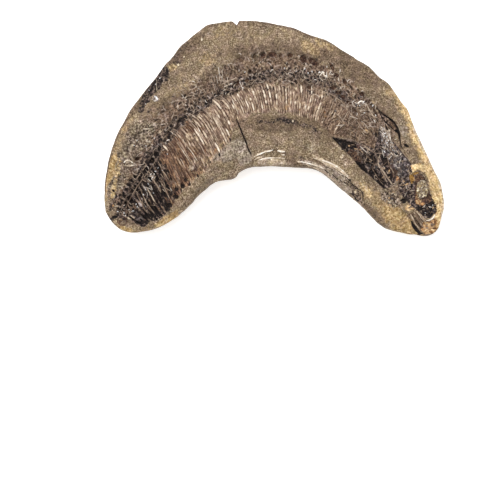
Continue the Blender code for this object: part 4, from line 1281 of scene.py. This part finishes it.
# painted highlights: small bright splinters where the bone glints: place and length
glints = (
    (10.8, 20.6, 0.5), (11.9, 19.2, 0.5), (13.3, 19.9, 0.45), (15.7, 19.6, 0.5), (18.2, 18.2, 0.5),
    (7.7, 19.9, 0.4), (3.8, 21, 0.4), (30.1, 7.7, 0.4), (31.3, 9.1, 0.6), (34.5, 7.8, 0.6),
    (31.8, 5.4, 0.5), (35.6, 4.5, 0.5), (37.8, -4.2, 0.4), (39.5, -5.2, 0.5), (41.6, -8, 0.35),
    (38.7, -8.4, 0.5), (38.1, -0.7, 0.4), (38.8, -1.9, 0.5), (39.5, -3.1, 0.5), (38.5, -3.1, 0.4),
    (40.2, -4.4, 0.4), (-41.8, 11, 0.4), (-40.9, 10, 0.4), (-43.8, 13.3, 0.3), (-41.3, 15.4, 0.4),
    (42.3, -9.4, 0.3), (-42.7, -17.3, 0.5), (-41.5, -15.2, 0.5), (-45.7, -23.2, 0.5), (-49.2, -29.2, 0.5),
    (-52.4, -29.6, 0.5), (-41.3, 10.5, 0.7), (-44.9, 8.4, 0.4), (-39.9, 17.5, 0.4), (-48.8, -5.9, 0.4),
    (-48.1, -4.4, 0.35), (-41.9, -3.5, 0.4), (-44.9, -6.3, 0.35), (-48.4, -26.7, 0.7), (-47.8, -27.5, 0.5),
    (-11.9, 16.1, 0.4), (-10.8, 14, 0.4), (-54.6, -29.2, 0.4), (-49.8, -29.2, 0.4), (-0.7, 20.3, 0.4),
    (-10.3, 19.6, 0.4), (54.6, -27.6, 0.4), (55.6, -26.9, 0.3), (52.8, -29.7, 0.3), (-39.2, -15, 0.3),
    (-37.3, -9.1, 0.35), (-43.9, -19.6, 0.4), (-44.8, -21.9, 0.35), (-43.2, -16.1, 0.45),
    (-40.6, -14, 0.35), (-50.8, -28.3, 0.4), (-46.5, -24.8, 0.3), (-52, -30.6, 0.35), (-39.9, -20.3, 0.3),
    (-42.3, -22.8, 0.3), (-45.1, -27.3, 0.3),
)


# five-sided chips for the painted highlights, about a third as wide as they are long
def makeGlints():
    rng = np.random.default_rng(48)
    count = len(glints)
    *place, size = np.array(glints).T
    centre = np.stack(place, axis=1) - shift + rng.normal(0, 0.1, (count, 2))
    return shardMesh("glints", centre, np.stack([size, 0.35 * size], axis=1), rng.uniform(0, np.pi, count),
                     0.3 + 0.2 * size, rng.normal(0, 0.15, (count, 2)), rng.uniform(0.8, 1.0, count), 5, 49)


glintChips = makeGlints()


# a colour given in screen values from 0 to 255, made linear: ((v + 0.055) / 1.055)^2.4
def colour(red, green, blue):
    srgb = np.array([red, green, blue]) / 255
    return (*np.where(srgb <= 0.04045, srgb / 12.92, ((srgb + 0.055) / 1.055) ** 2.4), 1.0)


# a grey given in linear light
def grey(value):
    return (value, value, value, 1.0)


# stops for a ramp, each a place and a colour
def tones(*stops):
    return tuple((place, colour(*rgb)) for place, *rgb in stops)


# a material with a principled shader; returns the material, its node tree and the shader
def newMaterial(name, settings):
    material = bpy.data.materials.new(name)
    material.use_nodes = True
    shader = material.node_tree.nodes["Principled BSDF"]
    for socket, value in settings.items():
        shader.inputs[socket].default_value = value
    return material, material.node_tree, shader


# a new node; each named value goes to the input of that name or else to the setting
def newNode(tree, kind, **values):
    node = tree.nodes.new(kind)
    for name, value in values.items():
        if name in node.inputs:
            node.inputs[name].default_value = value
        else:
            setattr(node, name, value)
    return node


# links the values that are outputs of nodes and sets those that are numbers
def feed(tree, sockets, values):
    for socket, value in zip(sockets, values):
        if hasattr(value, "is_linked"):
            tree.links.new(value, socket)
        else:
            socket.default_value = value


# noise in the object's own metres, or in another vector; the seed picks one of many patterns
def noise(tree, scale, detail=3.0, roughness=0.6, seed=0.0, vector=None):
    node = newNode(tree, "ShaderNodeTexNoise", noise_dimensions="4D", Scale=scale, Detail=detail,
                   Roughness=roughness, W=seed)
    coords = tree.nodes.get("coords") or newNode(tree, "ShaderNodeTexCoord", name="coords")
    tree.links.new(vector or coords.outputs["Object"], node.inputs["Vector"])
    return node.outputs["Fac"]


# the colour that the stops have at the source's value
def ramp(tree, source, stops):
    node = tree.nodes.new("ShaderNodeValToRGB")
    bar = node.color_ramp
    while len(bar.elements) < len(stops):
        bar.elements.new(0.5)
    for element, (place, tone) in zip(bar.elements, stops):
        element.position, element.color = place, tone
    tree.links.new(source, node.inputs["Fac"])
    return node.outputs["Color"]


# low where the factor is 0, high where it is 1
def mixColours(tree, factor, low, high, blend="MIX"):
    node = newNode(tree, "ShaderNodeMix", data_type="RGBA", blend_type=blend)
    feed(tree, (node.inputs["Factor"], node.inputs[6], node.inputs[7]), (factor, low, high))
    return node.outputs[2]


# one operation on outputs or numbers
def maths(tree, operation, *values):
    node = newNode(tree, "ShaderNodeMath", operation=operation)
    feed(tree, node.inputs, values)
    return node.outputs[0]


# base plus amount times how far the source is from a half
def swung(tree, source, amount, base):
    return maths(tree, "MULTIPLY_ADD", maths(tree, "SUBTRACT", source, 0.5), amount, base)


# a piece's own mask or number, by its name
def attribute(tree, name):
    return newNode(tree, "ShaderNodeAttribute", attribute_name=name).outputs["Fac"]


# an S-curve that is 0 at low and 1 at high
def smooth(tree, low, high, value):
    node = newNode(tree, "ShaderNodeMapRange", interpolation_type="SMOOTHSTEP")
    feed(tree, [node.inputs[name] for name in ("From Min", "From Max", "Value")], (low, high, value))
    return node.outputs["Result"]


# a layer of paint broken up by noise: mask plus noise, through a steep ramp
def brokenMask(tree, name, seed, amount, low=0.35, high=0.65):
    patchy = maths(tree, "ADD", noise(tree, 620, 2.0, 0.65, seed), noise(tree, 1900, 1.0, 0.5, seed + 7))
    added = maths(tree, "MULTIPLY_ADD", patchy, 0.5 * amount, attribute(tree, name))
    return smooth(tree, low + 0.5 * amount, high + 0.5 * amount, added)


# fine bumps as high as the distance, in metres
def bumped(tree, shader, source, distance):
    node = newNode(tree, "ShaderNodeBump", Strength=1.0, Distance=distance)
    tree.links.new(source, node.inputs["Height"])
    tree.links.new(node.outputs["Normal"], shader.inputs["Normal"])


# colours of the stone, as stops of a ramp: place, then red, green and blue
paints = {
    "sandstone": ((0.37, 66, 52, 39), (0.46, 108, 91, 71), (0.53, 134, 117, 95), (0.64, 192, 176, 151)),
    "flesh": ((0.34, 66, 47, 36), (0.44, 126, 103, 87), (0.54, 168, 146, 123), (0.66, 230, 213, 190)),
    "russet": ((0.34, 44, 30, 24), (0.46, 98, 74, 58), (0.56, 134, 104, 80), (0.68, 196, 166, 136)),
    "mauve": ((0.36, 196, 192, 196), (0.56, 255, 255, 255)),
    "scaleRim": ((0.4, 112, 94, 80), (0.5, 150, 132, 116), (0.62, 212, 200, 188)),
    "groove": (64, 44, 34),
    "scaleMiddle": (26, 20, 18),
}
# layers from the bottom up: mask, how broken it is, scale of its grain, dark, middle and light tone
layers = (
    ("shade", 1.6, 2000, (62, 49, 37), (104, 87, 70), (146, 128, 107)),
    ("gold", 1.5, 1400, (96, 79, 55), (144, 122, 90), (200, 180, 144)),
    ("rind", 1.1, 1300, (116, 92, 56), (164, 137, 94), (210, 188, 146)),
    ("bed", 1.4, 1300, (48, 36, 29), (100, 80, 64), (158, 138, 118)),
    ("pebble", 1.2, 1300, (38, 30, 25), (106, 91, 74), (196, 182, 160)),
    ("vein", 1.4, 1300, (9, 7, 7), (42, 33, 30), (138, 120, 108)),
    ("bone", 0.9, 1200, (9, 6, 7), (43, 34, 32), (150, 132, 122)),
    ("lilac", 0.9, 1000, (28, 22, 22), (80, 71, 69), (160, 151, 146)),
    ("horn", 0.9, 1200, (76, 66, 60), (142, 130, 122), (214, 208, 204)),
    ("den", 0.7, 1400, (28, 17, 14), (66, 46, 37), (118, 92, 74)),
    ("straw", 1.2, 1500, (146, 116, 72), (204, 176, 128), (240, 220, 178)),
    ("honey", 1, 1300, (76, 52, 22), (136, 100, 46), (190, 154, 92)),
    ("rust", 1.1, 1300, (104, 64, 34), (168, 118, 72), (220, 178, 124)),
    ("amber", 1.1, 900, (78, 50, 30), (158, 120, 80), (218, 188, 142)),
    ("cream", 0.9, 1800, (146, 126, 102), (194, 176, 150), (238, 228, 210)),
    ("slate", 0.9, 1500, (84, 73, 62), (136, 122, 106), (194, 182, 166)),
    ("hole", 0.8, 1500, (5, 4, 4), (17, 12, 12), (58, 46, 40)),
)


# dark middles and light rims of the scales, by the distance to the rim between two scales
def scalesOver(tree, look):
    broken = maths(tree, "MULTIPLY", attribute(tree, "scales"),
                   smooth(tree, 0.34, 0.54, noise(tree, 500, 2.0, 0.6, 8.0)))
    distance = swung(tree, noise(tree, 1500, 1.0, 0.5, 9.0), 0.5, attribute(tree, "scaleEdge"))
    own = attribute(tree, "scaleOwn")
    middles = maths(tree, "MULTIPLY", smooth(tree, 0.22, 0.42, distance), smooth(tree, 0.35, 0.6, own))
    look = mixColours(tree, maths(tree, "MULTIPLY", middles, broken), look, colour(*paints["scaleMiddle"]))
    rimTone = ramp(tree, noise(tree, 600, 2.0, 0.6, 10.0), tones(*paints["scaleRim"]))
    rims = maths(tree, "MULTIPLY", smooth(tree, 0.26, 0.1, distance), broken)
    return mixColours(tree, maths(tree, "MULTIPLY", rims, 0.8), look, rimTone)


# the sandstone, the flesh with its ribs over it, then each layer in turn, then broad patches
def stoneMaterial():
    material, tree, shader = newMaterial("splitStone", {"Roughness": 0.7, "Specular IOR Level": 0.2})
    # grain that is coarse in some places and faint in others
    force = maths(tree, "MULTIPLY_ADD", smooth(tree, 0.38, 0.62, noise(tree, 210, 3.0, 0.6, 62.0)), 0.55, 0.8)
    grain = swung(tree, noise(tree, 2100, 3.0, 0.8), force, 0.5)
    look = ramp(tree, grain, tones(*paints["sandstone"]))
    # ribs: ground streaked along the rib, a dark line at both sides of each rod
    flow = newNode(tree, "ShaderNodeCombineXYZ")
    tree.links.new(attribute(tree, "ribPlace"), flow.inputs["X"])
    tree.links.new(maths(tree, "MULTIPLY", attribute(tree, "rise"), 0.3), flow.inputs["Y"])
    streak = noise(tree, 2.1, 3.0, 0.8, 2.0, flow.outputs["Vector"])
    flesh, russet = (ramp(tree, streak, tones(*paints[name])) for name in ("flesh", "russet"))
    flesh = mixColours(tree, brokenMask(tree, "russet", 6.0, 0.8, 0.35, 0.7), flesh, russet)
    passed = attribute(tree, "phase")
    near = maths(tree, "ABSOLUTE", maths(tree, "SUBTRACT", passed, maths(tree, "ROUND", passed)))
    groove = smooth(tree, 0.13, 0.03, maths(tree, "ABSOLUTE", maths(tree, "SUBTRACT", near, 0.24)))
    groove = maths(tree, "MULTIPLY", groove, smooth(tree, 0.4, 0.56, noise(tree, 420, 3.0, 0.7, 3.0)))
    flesh = mixColours(tree, groove, flesh, colour(*paints["groove"]))
    mauve = ramp(tree, noise(tree, 300, 3.0, 0.65, 60.0), tones(*paints["mauve"]))
    flesh = mixColours(tree, 1.0, flesh, mauve, "MULTIPLY")
    look = mixColours(tree, brokenMask(tree, "flesh", 4.0, 1.0), look, flesh)
    for seed, (name, amount, scale, *rgbs) in enumerate(layers):
        paint = ramp(tree, swung(tree, noise(tree, scale, 2.5, 0.78, 20.0 + seed), force, 0.5),
                     tuple(zip((0.38, 0.5, 0.64), (colour(*rgb) for rgb in rgbs))))
        look = mixColours(tree, brokenMask(tree, name, 40.0 + seed, amount), look, paint)
        if name == "vein":
            look = scalesOver(tree, look)
    # broad and small patches, lighter and darker, and a tint from mauve to yellow
    for scale, detail, roughness, seed, stops in (
            (170, 4.0, 0.65, 1.0, ((0.36, grey(0.8)), (0.64, grey(1.16)))),
            (620, 2.0, 0.6, 11.0, ((0.34, grey(0.76)), (0.5, grey(1.0)), (0.66, grey(1.24)))),
            (380, 3.0, 0.65, 61.0, ((0.4, (1.03, 0.975, 1.03, 1.0)), (0.6, (1.01, 0.995, 0.91, 1.0))))):
        patchy = ramp(tree, noise(tree, scale, detail, roughness, seed), stops)
        look = mixColours(tree, 1.0, look, patchy, "MULTIPLY")
    tree.links.new(look, shader.inputs["Base Color"])
    bumped(tree, shader, maths(tree, "ADD", grain, noise(tree, 3400, 1.0, 0.5, 5.0)), 0.0003)
    return material


# a rod's or chip's colour: its own tone plus 0.7 times how far the grain is from a half
def toneMaterial(name, roughness, *stops):
    material, tree, shader = newMaterial(name, {"Roughness": roughness, "Specular IOR Level": 0.3})
    grain = noise(tree, 1500, 2.0, 0.6)
    tree.links.new(ramp(tree, swung(tree, grain, 0.7, attribute(tree, "tone")), tones(*stops)),
                   shader.inputs["Base Color"])
    bumped(tree, shader, grain, 0.0001)
    return material


nodule.data.materials.append(stoneMaterial())
# the other pieces' materials: name, roughness and stops by their tone
for piece, *look in (
        (ribs, "ribBone", 0.45, (0.1, 78, 57, 43), (0.38, 142, 118, 97), (0.62, 192, 171, 148),
         (0.95, 242, 231, 214)),
        (threads, "threadBone", 0.45, (0.0, 76, 56, 44), (0.4, 140, 116, 98), (1.0, 210, 192, 172)),
        (scaleRims, "scaleHorn", 0.45, (0.0, 44, 34, 29), (0.3, 104, 86, 72), (0.6, 166, 148, 132),
         (1.0, 232, 224, 214)),
        (needleRods, "needleBone", 0.45, (0.0, 40, 30, 25), (0.3, 100, 80, 64), (0.6, 166, 146, 126),
         (1.0, 236, 228, 218)),
        (boneSticks, "stickBone", 0.45, (0.2, 78, 60, 48), (0.45, 136, 116, 98), (0.7, 192, 174, 152),
         (1.0, 244, 238, 228)),
        (eyeCrystals, "eyeCrystal", 0.3, (0.0, 70, 54, 36), (0.4, 138, 116, 84), (0.75, 190, 173, 138),
         (1.0, 236, 226, 200)),
        (skullChips, "skullBone", 0.35, (0.0, 12, 8, 9), (0.25, 48, 38, 36), (0.5, 120, 102, 86),
         (0.75, 172, 136, 94), (1.0, 224, 196, 152)),
        # the glints' white chips are painted highlights
        (glintChips, "glint", 0.25, (0.6, 190, 188, 188), (1.0, 250, 250, 250))):
    piece.data.materials.append(toneMaterial(*look))
print("materials", len(bpy.data.materials))

studioSet = {
    "lens": 200.0, "sensor": 36.0,                              # of the camera, in mm
    "frameWidth": 175.0, "frameCentre": (-8.4, -42.7),          # what the camera sees
    "world": 0.66, "lightPower": 16.0, "lightSize": 1.0, "lightPlace": (-0.3, 0.45, 1.0),
    "floorHalf": 1.5, "floorGrey": 0.93, "floorGlow": 0.5,
}


# a pale floor, an even white world, one soft lamp, and the camera straight above, looking down
def studio():
    scene = bpy.context.scene
    scene.view_settings.view_transform = "Standard"
    floorMesh, half = bpy.data.meshes.new("floor"), studioSet["floorHalf"]
    corners = [(-half, -half, 0), (half, -half, 0), (half, half, 0), (-half, half, 0)]
    floorMesh.from_pydata(corners, [], [(0, 1, 2, 3)])
    floor = addObject("floor", floorMesh)
    paint = newMaterial("paleFloor", {
        "Base Color": grey(studioSet["floorGrey"]), "Roughness": 0.9,
        "Emission Color": grey(1), "Emission Strength": studioSet["floorGlow"]})[0]
    floorMesh.materials.append(paint)
    scene.world = bpy.data.worlds.new("studio")
    scene.world.use_nodes = True
    background = scene.world.node_tree.nodes["Background"]
    feed(scene.world.node_tree, background.inputs, (grey(1), studioSet["world"]))
    light = bpy.data.lights.new("keyLight", "AREA")
    light.size, light.energy = studioSet["lightSize"], studioSet["lightPower"]
    lamp = addObject("keyLight", light)
    lamp.location = studioSet["lightPlace"]
    lamp.rotation_euler = (-lamp.location).to_track_quat("-Z", "Y").to_euler()
    cam = bpy.data.cameras.new("camera")
    cam.lens, cam.sensor_width = studioSet["lens"], studioSet["sensor"]
    scene.camera = addObject("camera", cam)
    height = studioSet["frameWidth"] * cam.lens / cam.sensor_width + stone["faceHeight"]
    scene.camera.location = (*(studioSet["frameCentre"] - shift) * mm, height * mm)
    print("studio, with the camera", round(height), "mm up")


studio()
